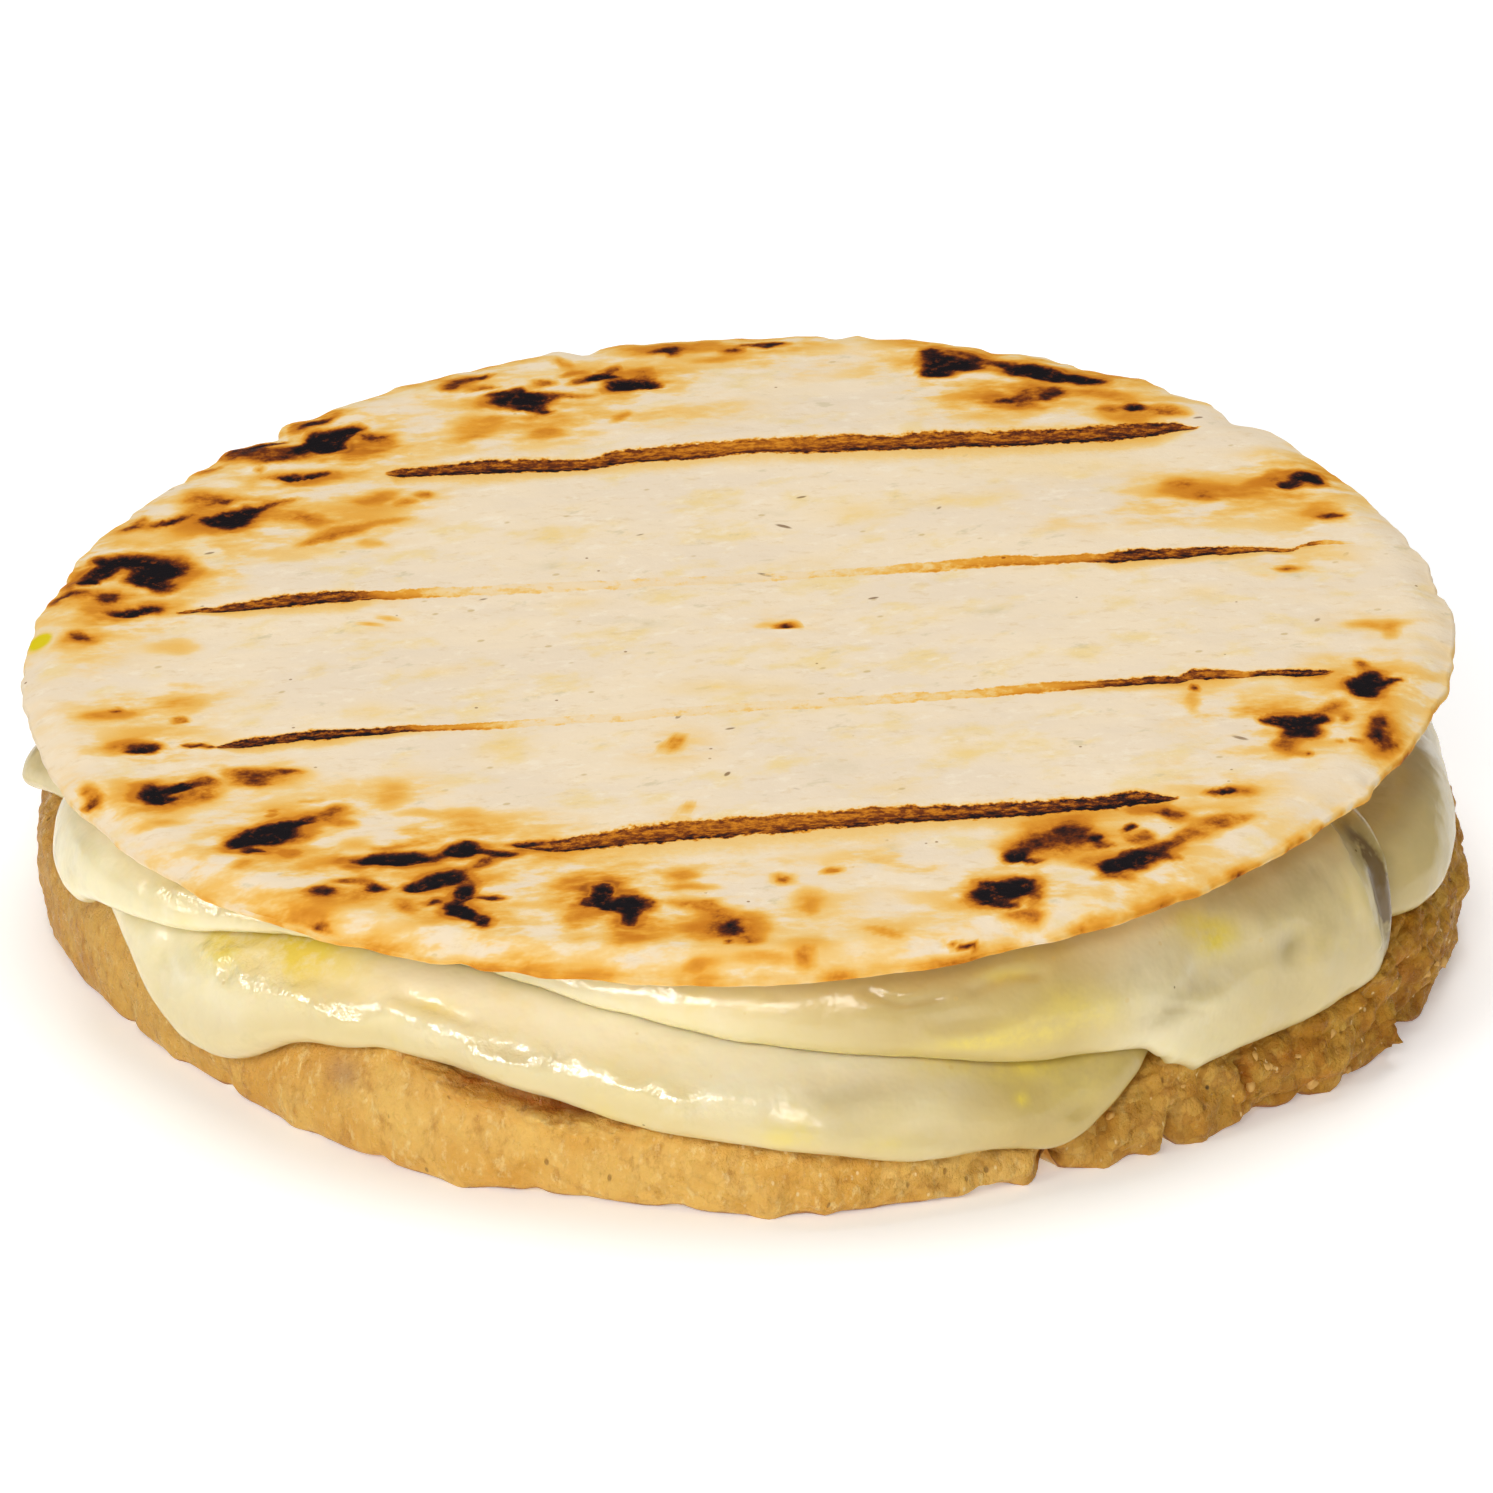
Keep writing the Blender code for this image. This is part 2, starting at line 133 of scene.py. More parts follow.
# Toast marks on the upper half: place right and back of the middle, half length, half width,
# turn in degrees, heat from 0.2, golden, through 0.4, orange, and 0.6, brown, to 1, charred
TOP_MARKS = (
    # back left
    (-33.2, 41.8, 2, 0.6, 38, 0.8), (-32.6, 38.2, 2.2, 1.5, 25, 1), (-30.8, 39.6, 1.4, 1, 20, 1),
    (-32, 36.6, 1.2, 0.9, 0, 1), (-34.4, 37.4, 1, 0.7, 30, 0.9),
    (-38.6, 37.3, 1.6, 1.1, 45, 0.74), (-36.5, 36.3, 2.2, 1.2, 10, 0.6),
    (-35, 35.2, 2.2, 0.7, 0, 0.5), (-37.3, 38.5, 1.2, 0.5, 30, 0.75),
    (-28.7, 38.2, 1, 0.5, -20, 0.6), (-28, 37.2, 1.2, 1.2, 0, 0.38),
    (-34.2, 31.6, 2, 0.5, 2, 0.9), (-34, 31.7, 3.2, 1, 0, 0.38), (-41.3, 34.4, 0.8, 0.4, 30, 0.5),
    (-37.5, 33.4, 0.4, 0.4, 0, 0.42), (-42, 28.9, 1.6, 1.2, 0, 0.34),
    (-40.8, 28, 2, 0.5, -5, 0.36), (-42, 26.9, 1.4, 0.6, 30, 0.42),
    (-40, 27.6, 0.5, 0.4, 0, 0.58), (-39, 25.2, 2.6, 0.9, 28, 1), (-39.3, 24.6, 1.6, 1.1, 10, 1),
    (-35.6, 27, 1.2, 0.4, 20, 0.6), (-39.3, 23.5, 1.6, 0.8, 10, 0.62),
    (-39.6, 24.2, 3.4, 1.7, 15, 0.4), (-44.4, 24.3, 1.3, 0.5, 25, 0.66),
    (-43.2, 24.9, 0.9, 0.5, 20, 0.48), (-47.2, 23.7, 0.8, 0.6, 35, 0.48),
    (-46.4, 25.4, 0.5, 0.5, 0, 0.42), (-46.2, 23.9, 1.8, 0.9, 10, 0.3),
    (-34.5, 23.8, 1.3, 0.7, 0, 0.34), (-32.9, 23.2, 1.2, 0.8, -30, 0.38),
    (-30.3, 20.8, 1.6, 0.6, 15, 0.38), (-31.9, 19.7, 1.3, 0.7, 25, 0.36),
    (-33, 18.9, 1, 0.5, 30, 0.26), (-28.4, 18.2, 0.8, 0.6, -30, 0.22),
    (-28.2, 26.6, 1.4, 0.7, 10, 0.34), (-24.4, 26.6, 0.6, 0.6, 30, 0.42),
    (-25.8, 25.4, 0.6, 0.5, 0, 0.38), (-27, 22, 1.2, 0.4, 10, 0.2), (-47.6, 17.5, 2, 1.1, -5, 1),
    (-45, 15.5, 1.9, 2.2, 0, 1), (-49.3, 16, 1.5, 1, 45, 1), (-46, 14, 1.4, 1.1, 0, 0.98),
    (-50.3, 14.3, 0.6, 0.5, 0, 0.9), (-44.4, 12.5, 1.1, 1, 20, 0.72),
    (-49.7, 18.2, 0.6, 0.7, 0, 0.72), (-43.2, 16, 1.2, 2.2, 0, 0.45),
    (-52, 12.7, 0.9, 0.6, 10, 0.78), (-53, 12, 0.5, 0.7, 0, 0.7),
    (-51.5, 15, 0.7, 1.3, -30, 0.56), (-48.7, 11.2, 0.7, 0.6, 30, 0.6),
    (-50.6, 12.3, 0.8, 0.5, -20, 0.48), (-49.5, 11.6, 2.2, 1.2, 0, 0.32),
    (-46.7, 8.5, 1.9, 0.6, 2, 0.98), (-47, 8.8, 3.2, 1.3, 0, 0.38),
    (-51.2, 4.8, 0.6, 0.7, 30, 0.6), (-50.4, 4.3, 0.7, 0.4, -15, 0.48),
    (-50.6, 4.5, 1.6, 1.2, 0, 0.26), (-27.6, 4.3, 0.8, 0.25, 35, 0.55),
    (-43.5, 2.2, 1.6, 1.2, 0, 0.14), (-22, 47.7, 1.5, 0.7, 28, 0.72),
    (-20.2, 48.8, 0.7, 0.4, 20, 0.85),
    # back
    (-16.9, 43.9, 2.3, 1.3, 0, 1), (-18.6, 45.2, 1, 0.5, 20, 0.8),
    (-17.2, 45.8, 0.7, 0.5, 0, 0.7), (-16.4, 42.1, 1.3, 0.6, 0, 0.92),
    (-15.1, 41.4, 0.8, 0.4, 0, 0.66), (-13, 44.1, 1.2, 0.4, 0, 0.46),
    (-15.3, 46.8, 0.8, 0.6, 15, 0.52), (-20, 46.7, 1, 0.4, 0, 0.46),
    (-13.7, 50.6, 0.5, 1, 30, 0.38), (-12.8, 48.6, 1, 0.3, 10, 0.5),
    (-10.3, 47.8, 1.2, 0.7, 15, 1), (-8, 46.3, 1.9, 1.1, 5, 1), (-9.6, 49.2, 0.7, 0.6, 0, 0.74),
    (-12, 47.2, 1.2, 0.6, 20, 0.64), (-8.9, 45.2, 1.4, 0.8, 0, 0.78),
    (-6.6, 45.4, 0.6, 0.5, 0, 0.85), (-7.5, 48.3, 0.7, 0.7, 0, 0.48),
    (-5.3, 52.7, 1.3, 0.6, 10, 0.7), (-4.7, 51.8, 0.5, 0.6, 0, 0.66),
    (-0.3, 51.8, 0.6, 0.6, 0, 0.7), (2.2, 53.1, 1.6, 0.6, 0, 0.8), (-3, 53, 3.4, 1, 0, 0.26),
    (-7.5, 52.3, 2.2, 0.8, 0, 0.24), (-1.5, 50.3, 1.6, 0.5, 0, 0.26),
    (-9.2, 39.8, 0.4, 0.8, -20, 0.34), (-14.8, 37.2, 1.4, 0.8, 10, 0.32),
    (-20.4, 39.6, 1.5, 1.8, 0, 0.24), (-21.3, 37, 1.2, 0.6, 40, 0.24), (16.7, 48, 1.6, 1.6, 0, 1),
    (15.7, 49.8, 0.8, 1.2, 0, 0.85), (18, 50.3, 1.6, 0.6, -20, 0.6),
    (15.9, 46.2, 1.1, 0.8, 0, 0.95), (18.6, 47.6, 1.3, 1, -20, 0.9), (19.3, 49, 1, 0.8, -30, 0.6),
    (15, 48, 0.7, 1.6, 0, 0.66), (25.2, 45.3, 3.6, 1.1, -24, 1), (23.4, 45.9, 1.6, 1.2, -20, 1),
    (22, 47.6, 1.2, 0.7, -30, 0.75), (28.3, 43.7, 1.2, 0.8, -30, 0.9),
    (20.8, 48.4, 1.2, 0.5, -25, 0.52), (22.2, 40.8, 1.6, 0.9, 10, 0.72),
    (25, 41.6, 0.9, 1.4, -10, 0.76), (23.4, 42.3, 1, 0.7, 20, 0.6),
    (22.6, 39.3, 1.3, 0.6, 0, 0.46), (28.8, 41.4, 2.4, 0.8, -22, 0.34),
    (31.4, 38.6, 1, 0.7, 0, 0.95), (34, 38, 1.4, 0.8, -20, 0.46), (32, 37, 2.4, 1, 0, 0.3),
    (29.5, 38.4, 0.6, 0.6, 0, 0.46), (44.6, 25, 1.2, 1, -15, 1), (43.4, 23.7, 1, 0.6, 0, 0.85),
    (42.2, 25.6, 0.7, 0.7, 0, 0.36), (41.6, 24.4, 1.8, 0.7, 15, 0.36),
    (45.5, 24, 0.5, 0.9, 0, 0.72), (35.8, 23, 1.9, 1.6, -15, 0.28),
    (36.5, 21.7, 0.9, 0.8, 0, 0.3), (35, 24.2, 1.1, 0.8, 0, 0.28), (39, 22.8, 1.6, 0.8, 10, 0.26),
    (46.3, 17.9, 0.9, 0.5, 10, 0.66), (45.6, 19.2, 1, 1.6, -30, 0.22),
    (42.9, 8.4, 0.7, 0.5, 10, 0.52), (49.5, -1.6, 1.6, 0.6, -5, 0.26),
    (50.6, -3, 0.5, 1, 0, 0.22),
    # front left
    (-48.5, -9, 1.9, 0.7, 5, 0.32), (-47.6, -8.3, 0.4, 0.3, 0, 0.6),
    (-42.5, -8, 1.8, 1.5, 0, 0.18), (-42.7, -10.7, 0.5, 0.5, 20, 0.52),
    (-45.2, -15.2, 1.3, 0.8, 5, 0.84), (-46.6, -14.8, 1.2, 0.9, 20, 0.48),
    (-41.3, -15.2, 0.7, 0.3, -20, 0.8), (-40.3, -15.9, 0.3, 0.2, 0, 0.7),
    (-49, -22.9, 0.7, 0.6, 30, 0.66), (-49.3, -21.3, 0.6, 1, 25, 0.42),
    (-44.4, -22.9, 1.2, 1.2, 0, 1), (-42.5, -22.2, 1.2, 0.7, 20, 1),
    (-40.5, -21.3, 1.1, 0.8, 10, 0.66), (-43.6, -24.2, 1, 0.5, 0, 0.9),
    (-42.8, -24.8, 2.4, 0.7, 10, 0.36), (-41.2, -23.2, 1.6, 1.2, 0, 0.5),
    (-44.9, -21.3, 0.8, 0.6, 0, 0.46), (-36.6, -21.4, 1.6, 1.1, 20, 0.46),
    (-37.9, -20.2, 0.8, 0.6, 0, 0.46), (-34.2, -20.6, 1, 0.4, -25, 0.54),
    (-36.4, -22.6, 0.7, 0.7, 0, 0.46), (-35.4, -21.8, 2.6, 1.5, 0, 0.28),
    (-35.7, -31, 2.6, 1.4, 25, 1), (-37.2, -32.2, 1.2, 0.9, 10, 1),
    (-34.8, -29.8, 1.5, 0.9, 15, 1), (-33, -29, 1, 0.6, 30, 0.85),
    (-36.6, -33.6, 0.9, 0.4, 0, 0.85), (-31.5, -28.5, 1.7, 0.8, 15, 0.54),
    (-30.3, -27.5, 0.8, 0.5, 40, 0.36), (-33, -31.5, 1.2, 0.9, 20, 0.5),
    (-33.9, -33.8, 0.6, 0.5, 0, 0.48), (-30, -29.6, 1, 0.5, -30, 0.36),
    (-37.6, -35.4, 0.7, 0.4, 30, 0.28), (-35.3, -27.4, 0.4, 0.2, 40, 0.6),
    (-44.2, -27.9, 1.4, 0.6, 5, 0.22), (-26.2, -25.5, 1.1, 1.6, 0, 0.15),
    (-24, -28.6, 1.8, 0.6, 0, 0.18), (-20.5, -29, 1.2, 0.7, 0, 0.18),
    (-32, -25.8, 0.9, 0.3, 10, 0.22), (-25.5, -35.8, 3.3, 0.9, 1, 1),
    (-20.5, -35, 1.6, 1.1, 10, 1), (-17.6, -35.8, 1.6, 0.6, -15, 0.9),
    (-15.5, -34.4, 1.4, 0.4, -8, 0.85), (-26.3, -34.2, 0.9, 0.6, 0, 0.38),
    (-28.5, -33.2, 1, 1, 20, 0.2), (-19, -37.3, 2, 0.6, 35, 0.64),
    (-22.2, -39.6, 1.6, 1.2, 10, 1), (-23.8, -40.2, 1.2, 0.8, 0, 0.97),
    (-20.3, -41.6, 0.9, 1.3, -10, 1), (-21.2, -44, 0.8, 1.3, 0, 0.98),
    (-20.2, -45, 0.7, 1.1, 20, 0.95), (-19, -46.2, 0.7, 1, 0, 0.9),
    (-22.9, -42.8, 0.5, 0.5, 0, 0.8), (-18.4, -42.6, 0.9, 0.4, -10, 0.72),
    (-24.7, -43.3, 0.7, 1.2, 20, 0.38), (-27, -40.3, 0.6, 0.6, -40, 0.85),
    (-27.6, -39.3, 1.4, 0.5, -25, 0.52), (-31, -40.3, 1, 0.8, 0, 0.7),
    (-28.5, -41.3, 2.2, 1.2, 0, 0.36), (-29, -38.6, 1.5, 0.5, 10, 0.44),
    (-41.5, -38.3, 1.5, 0.8, -40, 0.2), (-36.6, -42.6, 1.4, 1.4, -40, 0.28),
    (-35.5, -43.8, 0.8, 0.6, -40, 0.42), (-31.3, -44.4, 0.6, 0.6, -60, 0.52),
    (-32, -44, 1.8, 1.3, -30, 0.32), (-30.5, -47, 2.4, 1.3, -35, 0.32),
    (-26.5, -50, 2.4, 1, -28, 0.32), (-24, -51, 1.8, 0.7, -20, 0.38),
    (-21, -51.8, 1.8, 0.8, 0, 0.42), (-18.5, -52.5, 1.5, 1, -25, 0.42),
    (-19.7, -51.3, 0.4, 0.3, 0, 0.6),
    # front
    (-10, -43, 0.9, 1.2, 0, 1), (-8.1, -45, 1.2, 1.7, 0, 1), (-11, -44.3, 0.8, 0.6, 0, 0.85),
    (-9.6, -44.8, 1, 0.8, 0, 0.97), (-8, -47.4, 0.8, 1, 0, 0.8), (-6.5, -45, 0.6, 1, 0, 0.64),
    (-10.2, -41.8, 0.9, 0.5, 0, 0.6), (-11.6, -46, 0.8, 1.3, 0, 0.36),
    (-8.3, -50.2, 1.4, 0.7, 0, 0.24), (-11.5, -49.5, 1.3, 0.8, 0, 0.16),
    (-4, -40.9, 0.8, 0.8, 0, 0.28), (-3, -42.6, 1.4, 0.4, -10, 0.24),
    (3.6, -41.9, 0.9, 0.8, 0, 0.32), (3.6, -42, 0.3, 0.3, 0, 0.58),
    (5.3, -44.8, 1, 1.3, -35, 0.24), (5.6, -46.6, 0.6, 0.8, 0, 0.2),
    (7.3, -40.9, 0.5, 0.4, 0, 0.42), (-2.9, -45.5, 1.7, 0.8, -15, 0.38),
    (-0.6, -49, 1.3, 1.7, 0, 0.42), (-0.2, -49.3, 0.6, 1.1, 0, 0.6),
    (-1.8, -46.9, 0.9, 0.8, -30, 0.36), (0.9, -49.6, 1.2, 1.8, 0, 0.3),
    (1.2, -51.2, 0.9, 0.6, -30, 0.34), (-2.2, -49.5, 1.2, 1.6, 0, 0.26),
    (-0.5, -51.6, 0.35, 0.3, 0, 0.8), (-2.6, -53.6, 1.1, 0.5, 10, 0.3),
    (2, -53.4, 1.8, 0.4, 0, 0.22), (5.2, -53.3, 0.7, 0.6, 0, 0.38),
    (5.5, -51.9, 1.8, 0.8, 0, 0.2), (11.2, -50.5, 1.2, 0.4, -25, 0.28),
    (17.3, -51.7, 1, 0.25, 0, 0.68), (-8.5, -55, 3.4, 0.8, 0, 0.28),
    (-7, -54.8, 1.2, 0.4, 0, 0.36), (10.5, -54.6, 0.9, 0.4, 0, 0.3),
    (3.2, 0.9, 0.8, 0.45, -10, 0.36), (3.9, 0.8, 0.45, 0.35, 0, 0.9),
    (-4.9, -19.2, 0.7, 0.55, 0, 0.6), (-5.2, -19, 0.3, 0.3, 0, 0.85),
    (-3.9, -30.2, 0.4, 0.5, 0, 0.56),
    # front right
    (48.4, -11.8, 1.5, 1.2, 0, 1), (48.9, -10.4, 0.9, 0.8, 0, 0.95),
    (48.3, -13.3, 1.1, 0.8, 0, 0.97), (50.4, -11.2, 0.6, 0.4, 15, 0.75),
    (48, -8.7, 0.5, 0.6, 20, 0.54), (47.2, -11.2, 0.7, 0.6, 0, 0.75), (42.8, -18, 1.7, 1.2, 0, 1),
    (44.4, -17.4, 0.9, 0.9, 0, 0.9), (41.3, -17.6, 1, 0.7, 0, 0.9),
    (43.2, -19.8, 1.4, 0.9, 0, 0.85), (42, -21.5, 0.7, 1.2, -10, 0.6),
    (45.6, -15.6, 1.2, 0.6, 50, 0.5), (42.8, -23.4, 0.9, 0.5, 0, 0.3),
    (43.4, -23.3, 0.3, 0.25, 0, 0.66), (46.5, -17.3, 0.4, 0.8, 0, 0.5),
    (48.9, -18.3, 0.6, 1.4, 0, 0.64), (49.5, -21, 0.8, 1.2, 0, 0.58),
    (47.2, -21.2, 1, 0.2, 0, 0.56), (48.6, -20.3, 0.5, 0.8, 0, 0.68),
    (49.2, -19.5, 1.4, 2.8, 0, 0.34), (36.7, -29.5, 1.2, 0.4, 3, 0.85),
    (38, -29.3, 1.2, 0.8, 0, 0.4), (36.5, -31.5, 2.2, 0.8, 0, 0.18),
    (33.3, -33, 1.1, 0.9, -40, 0.6), (31.5, -32.4, 1.3, 0.5, -10, 0.46),
    (37.6, -33.8, 1.6, 1, 20, 0.36), (36, -35, 2.2, 1.1, 35, 0.3), (24, -36.4, 2.2, 1.6, 30, 0.5),
    (25.4, -35, 1.3, 1.2, 30, 0.54), (22, -37.8, 1.6, 0.9, 10, 0.46),
    (27.2, -36.2, 0.5, 0.35, 0, 0.66), (29.8, -34.9, 0.4, 0.7, -20, 0.72),
    (25, -37, 3.8, 2.4, 10, 0.34), (27.5, -37.2, 1.2, 0.5, -20, 0.46),
    (21, -39.2, 0.9, 0.8, 10, 0.92), (22.4, -39.8, 0.8, 0.4, 0, 0.68),
    (30, -40.2, 1.9, 1.3, 35, 1), (28.4, -41.2, 1, 0.8, 0, 0.9), (31.8, -38.6, 1.9, 1, 45, 0.72),
    (33.5, -37, 1.6, 0.9, 45, 0.5), (28.8, -42.8, 1.2, 0.6, 0, 0.5),
    (30.6, -36.6, 0.7, 0.8, 0, 0.6), (27, -40.6, 1.3, 0.6, 0, 0.46),
    (32.6, -40, 0.8, 0.4, -20, 0.56), (20, -44.6, 2, 1.5, 0, 0.95), (21, -44, 1.2, 1.2, 0, 1),
    (18.3, -45.6, 0.9, 1, 0, 0.82), (18.8, -43.3, 0.8, 0.5, 0, 0.8),
    (22.6, -44.9, 0.7, 1.6, 0, 0.6), (19.5, -46.6, 1.4, 0.6, 0, 0.85),
    (21.8, -48.2, 1.4, 0.9, 10, 0.46), (26.6, -47.9, 0.8, 0.6, 10, 0.24),
    (37.5, -42.8, 0.7, 1.4, -30, 0.34), (34.2, -44.8, 0.4, 1.6, -20, 0.46),
    (38.7, -41.8, 0.5, 0.7, -35, 0.76), (33.5, -46.3, 1.2, 0.4, 20, 0.46),
    (45, -35.4, 0.4, 1, -35, 0.52), (40.4, -39.8, 0.4, 0.9, -35, 0.46),
    (35, -14.5, 0.4, 1.2, 0, 0.2), (35, -12.2, 0.35, 0.45, 0, 0.66),
)
# Pale yellow patches where corn shows: right, back, half length, half width, strength
TOP_CORN = (
    (9.5, 20.5, 2.8, 1.6, 0.6), (-1.5, -9.3, 3.4, 1.2, 0.8), (4, -10.4, 2.2, 1, 0.6),
    (17, 22, 3, 1.2, 0.5), (-14, 18, 2.6, 1.3, 0.4), (25, 28, 6, 2.5, 0.5),
    (-18, -18.5, 2.2, 2, 0.5), (-53.9, 5, 1.1, 1.7, 3), (12, -28, 2.6, 1, 0.4),
    (-3.5, 41, 3, 1, 0.3), (36, 4.5, 1.6, 1, 0.6), (17.5, -22, 1.2, 1.2, 0.5),
    (-28, -11.5, 1.6, 1.6, 0.5), (-12, 6, 2.4, 1.2, 0.4), (6, 12, 2.2, 1, 0.35),
    (-22, -5, 2, 1.2, 0.4),
)
# Broad pale golden patches: right, back, half length, half width, strength
TOP_WARM = (
    (38, 21, 8, 5, 1.1), (26, 18, 6, 4, 0.5), (20, 24, 7, 3, 0.4), (45, 10, 4, 5, 0.5),
    (20, 41, 6, 4, 1), (12, 42, 4, 5, 0.6), (-3, 40, 5, 3, 0.8), (-12, 39, 5, 3, 1),
    (4, 48, 4, 3, 0.5), (-20, 37, 4, 3, 0.7), (-29, 24, 5, 4, 1), (-38, 18, 6, 4, 0.6),
    (-28, 35, 4, 3, 1), (-44, -8, 5, 4, 0.9), (-50, 2, 3, 6, 0.5), (37, -16, 5, 3, 0.9),
    (31, -9, 6, 2.5, 0.4), (-27, -25, 6, 3, 0.6), (-26, -32, 5, 3, 0.8), (-18, -31, 6, 2.5, 0.5),
    (-12, -41, 5, 4, 1), (-2, -40, 5, 2.5, 0.8), (11, -40, 4, 3, 1), (-13, -49, 4, 3, 1),
    (-4, -49, 5, 3, 1), (5, -47, 4, 3, 0.6), (12, -50, 3, 2, 0.7), (28, -47, 5, 3, 0.5),
    (-33, -38, 5, 4, 0.8), (36, -24, 4, 3, 0.5),
)
# Grey see-through patches: right, back, half length, half width, strength
TOP_CLEAR = (
    (11.6, -37.6, 0.7, 1.7, 1), (10.3, -39.6, 0.8, 0.7, 0.7), (42.9, 8, 1, 0.9, 0.8),
    (-8, 2, 2.4, 0.9, 0.5), (-14, 12.5, 1.6, 0.7, 0.5), (20, 2, 1.6, 0.7, 0.5),
    (2, 20, 1.8, 0.8, 0.5), (8, -24, 2, 0.8, 0.4),
)
# Nicks and lumps of the upper half's outline: angle, half width round it, how far it comes out
RIM_NICKS = (
    (132.3, 1.1, -1.2), (136.5, 1.6, 0.5), (129.5, 1.2, 0.4), (102.6, 1.1, -0.9), (105, 0.8, 0.4),
    (99.5, 1.5, 0.3), (120.5, 0.9, -0.4), (112.5, 0.8, -0.3), (81.6, 1, -0.6), (79.8, 0.7, 0.4),
    (67.8, 1.1, -0.6), (63.5, 0.8, 0.3), (60, 0.7, -0.3), (57.5, 1, -0.4), (54, 1, 0.3),
    (50.5, 1, -0.6), (47, 1.4, 0.5), (43, 1.6, -0.9), (38, 3, 0.5), (5.6, 0.8, -0.4), (2, 2, 0.3),
    (163, 0.9, -0.5), (159, 1.2, 0.4), (247.6, 1, -0.5), (249.8, 1.2, 0.3), (151, 0.8, -0.3),
    (143, 0.8, -0.3),
)

# Grill lines on the upper half: rows of place right, place back, half width and heat
TOP_LINES = (
    (
        (-27.2, 31, 0.3, 0.6), (-26.6, 31, 0.8, 0.73), (-22, 31.2, 1, 0.69),
        (-20, 31.3, 1.2, 0.71), (-16, 31.3, 1.2, 0.69), (-13.5, 31, 0.9, 0.67),
        (-11, 31.2, 1, 0.65), (-9.8, 32, 1.2, 0.64), (-6, 32.3, 1.3, 0.6), (-2, 32.5, 1.2, 0.56),
        (3, 32.7, 1.3, 0.52), (6, 32.8, 1.4, 0.56), (10, 32.9, 1.4, 0.6), (14, 33, 1.4, 0.64),
        (20, 33.2, 1.4, 0.65), (26, 33.5, 1.3, 0.69), (30, 34.1, 1.4, 0.71),
        (33, 34.5, 1.2, 0.71), (35, 34.8, 0.6, 0.69), (36.4, 34.9, 0.2, 0.6),
    ),
    (
        (-43.2, 8, 0.2, 0.6), (-41, 8.2, 0.4, 0.69), (-38, 8.4, 0.8, 0.73), (-35, 8.6, 0.9, 0.69),
        (-31, 8.8, 1, 0.71), (-29, 8.9, 0.9, 0.69), (-28.2, 8.7, 0.7, 0.42),
        (-25, 8.8, 0.8, 0.34), (-21, 8.8, 0.8, 0.18), (-10, 8.9, 0.8, 0.14), (0, 9.4, 0.7, 0.14),
        (10, 10, 0.7, 0.18), (16, 10.4, 0.8, 0.3), (20, 10.8, 0.8, 0.36), (25, 10.7, 0.7, 0.4),
        (28.4, 10.9, 0.7, 0.42), (29.2, 11, 1, 0.71), (31, 11.2, 1, 0.75), (34, 11.6, 0.8, 0.73),
        (38, 11.9, 0.7, 0.73), (41, 12.1, 0.4, 0.67), (43.3, 12.1, 0.25, 0.66),
        (43.8, 12.6, 0.2, 0.3), (44.5, 13, 0.3, 0.6), (46, 13.2, 0.4, 0.3), (48, 13, 0.2, 0.16),
    ),
    (
        (-39.6, -15.7, 0.2, 0.6), (-38, -15.4, 0.6, 0.81), (-35, -15.2, 0.7, 0.79),
        (-32, -15, 0.8, 0.81), (-28, -15, 0.6, 0.81), (-25.6, -14.9, 0.5, 0.77),
        (-24.8, -14.8, 0.5, 0.46), (-19, -14.8, 0.6, 0.32), (-16, -14.6, 0.6, 0.16),
        (-8, -14, 0.7, 0.14), (0, -13.2, 0.8, 0.14), (10, -12.5, 0.8, 0.16),
        (18, -12.2, 0.7, 0.26), (24, -11.6, 0.8, 0.34), (27, -11.3, 0.7, 0.46),
        (29.6, -11, 0.6, 0.71), (34, -10.6, 0.6, 0.71), (35, -9.9, 0.8, 0.66),
        (37.5, -10, 0.7, 0.58), (39.2, -10.2, 0.5, 0.4), (40.2, -9.8, 0.5, 0.77),
        (43, -9.8, 0.6, 0.81), (45.2, -9.7, 0.4, 0.77), (45.8, -9.7, 0.2, 0.4),
    ),
    (
        (-16.6, -34.6, 0.3, 0.6), (-14, -34.9, 0.8, 0.65), (-11, -34.6, 1, 0.66),
        (-8, -34, 1.4, 0.64), (-5, -33.7, 1.5, 0.62), (-2, -33.4, 1.5, 0.6),
        (2, -33.3, 1.4, 0.58), (6, -33, 1.4, 0.58), (9, -32.6, 1.4, 0.62), (12, -32.2, 1.3, 0.63),
        (16, -32, 1.1, 0.69), (20, -31.7, 1.1, 0.73), (24, -31.3, 1, 0.75), (27, -31, 1, 0.75),
        (30, -30.3, 1.1, 0.83), (32, -30.2, 0.7, 0.83), (33.4, -30.2, 0.2, 0.6),
    ),
)

# Grilled face under the lower half
UNDER_LINES = (
    (
        (-36, 27, 0.2, 0.5), (-29, 27.4, 1.1, 0.86), (0, 28.8, 1.4, 0.66), (27, 30.2, 1.1, 0.84),
        (34, 30.5, 0.2, 0.6),
    ),
    (
        (-45, 5, 0.2, 0.6), (-38, 5.3, 0.9, 0.86), (-18, 6.2, 0.7, 0.4), (8, 7.4, 0.7, 0.3),
        (31, 8.4, 0.9, 0.8), (44, 9, 0.2, 0.5),
    ),
    (
        (-43, -17, 0.2, 0.6), (-34, -16.6, 0.9, 0.84), (-9, -15.4, 0.7, 0.35),
        (21, -14, 0.8, 0.6), (35, -13.3, 0.9, 0.85), (42, -13, 0.2, 0.5),
    ),
    (
        (-28, -38, 0.2, 0.7), (-21, -37.6, 1.2, 0.9), (0.5, -36.3, 1.5, 0.64),
        (22, -34.9, 1.2, 0.86), (29, -34.5, 0.2, 0.6),
    ),
)
UNDER_MARK_COUNT = 46
MARKED_BAND = (30, 50)  # radii between which the underside has its toast marks
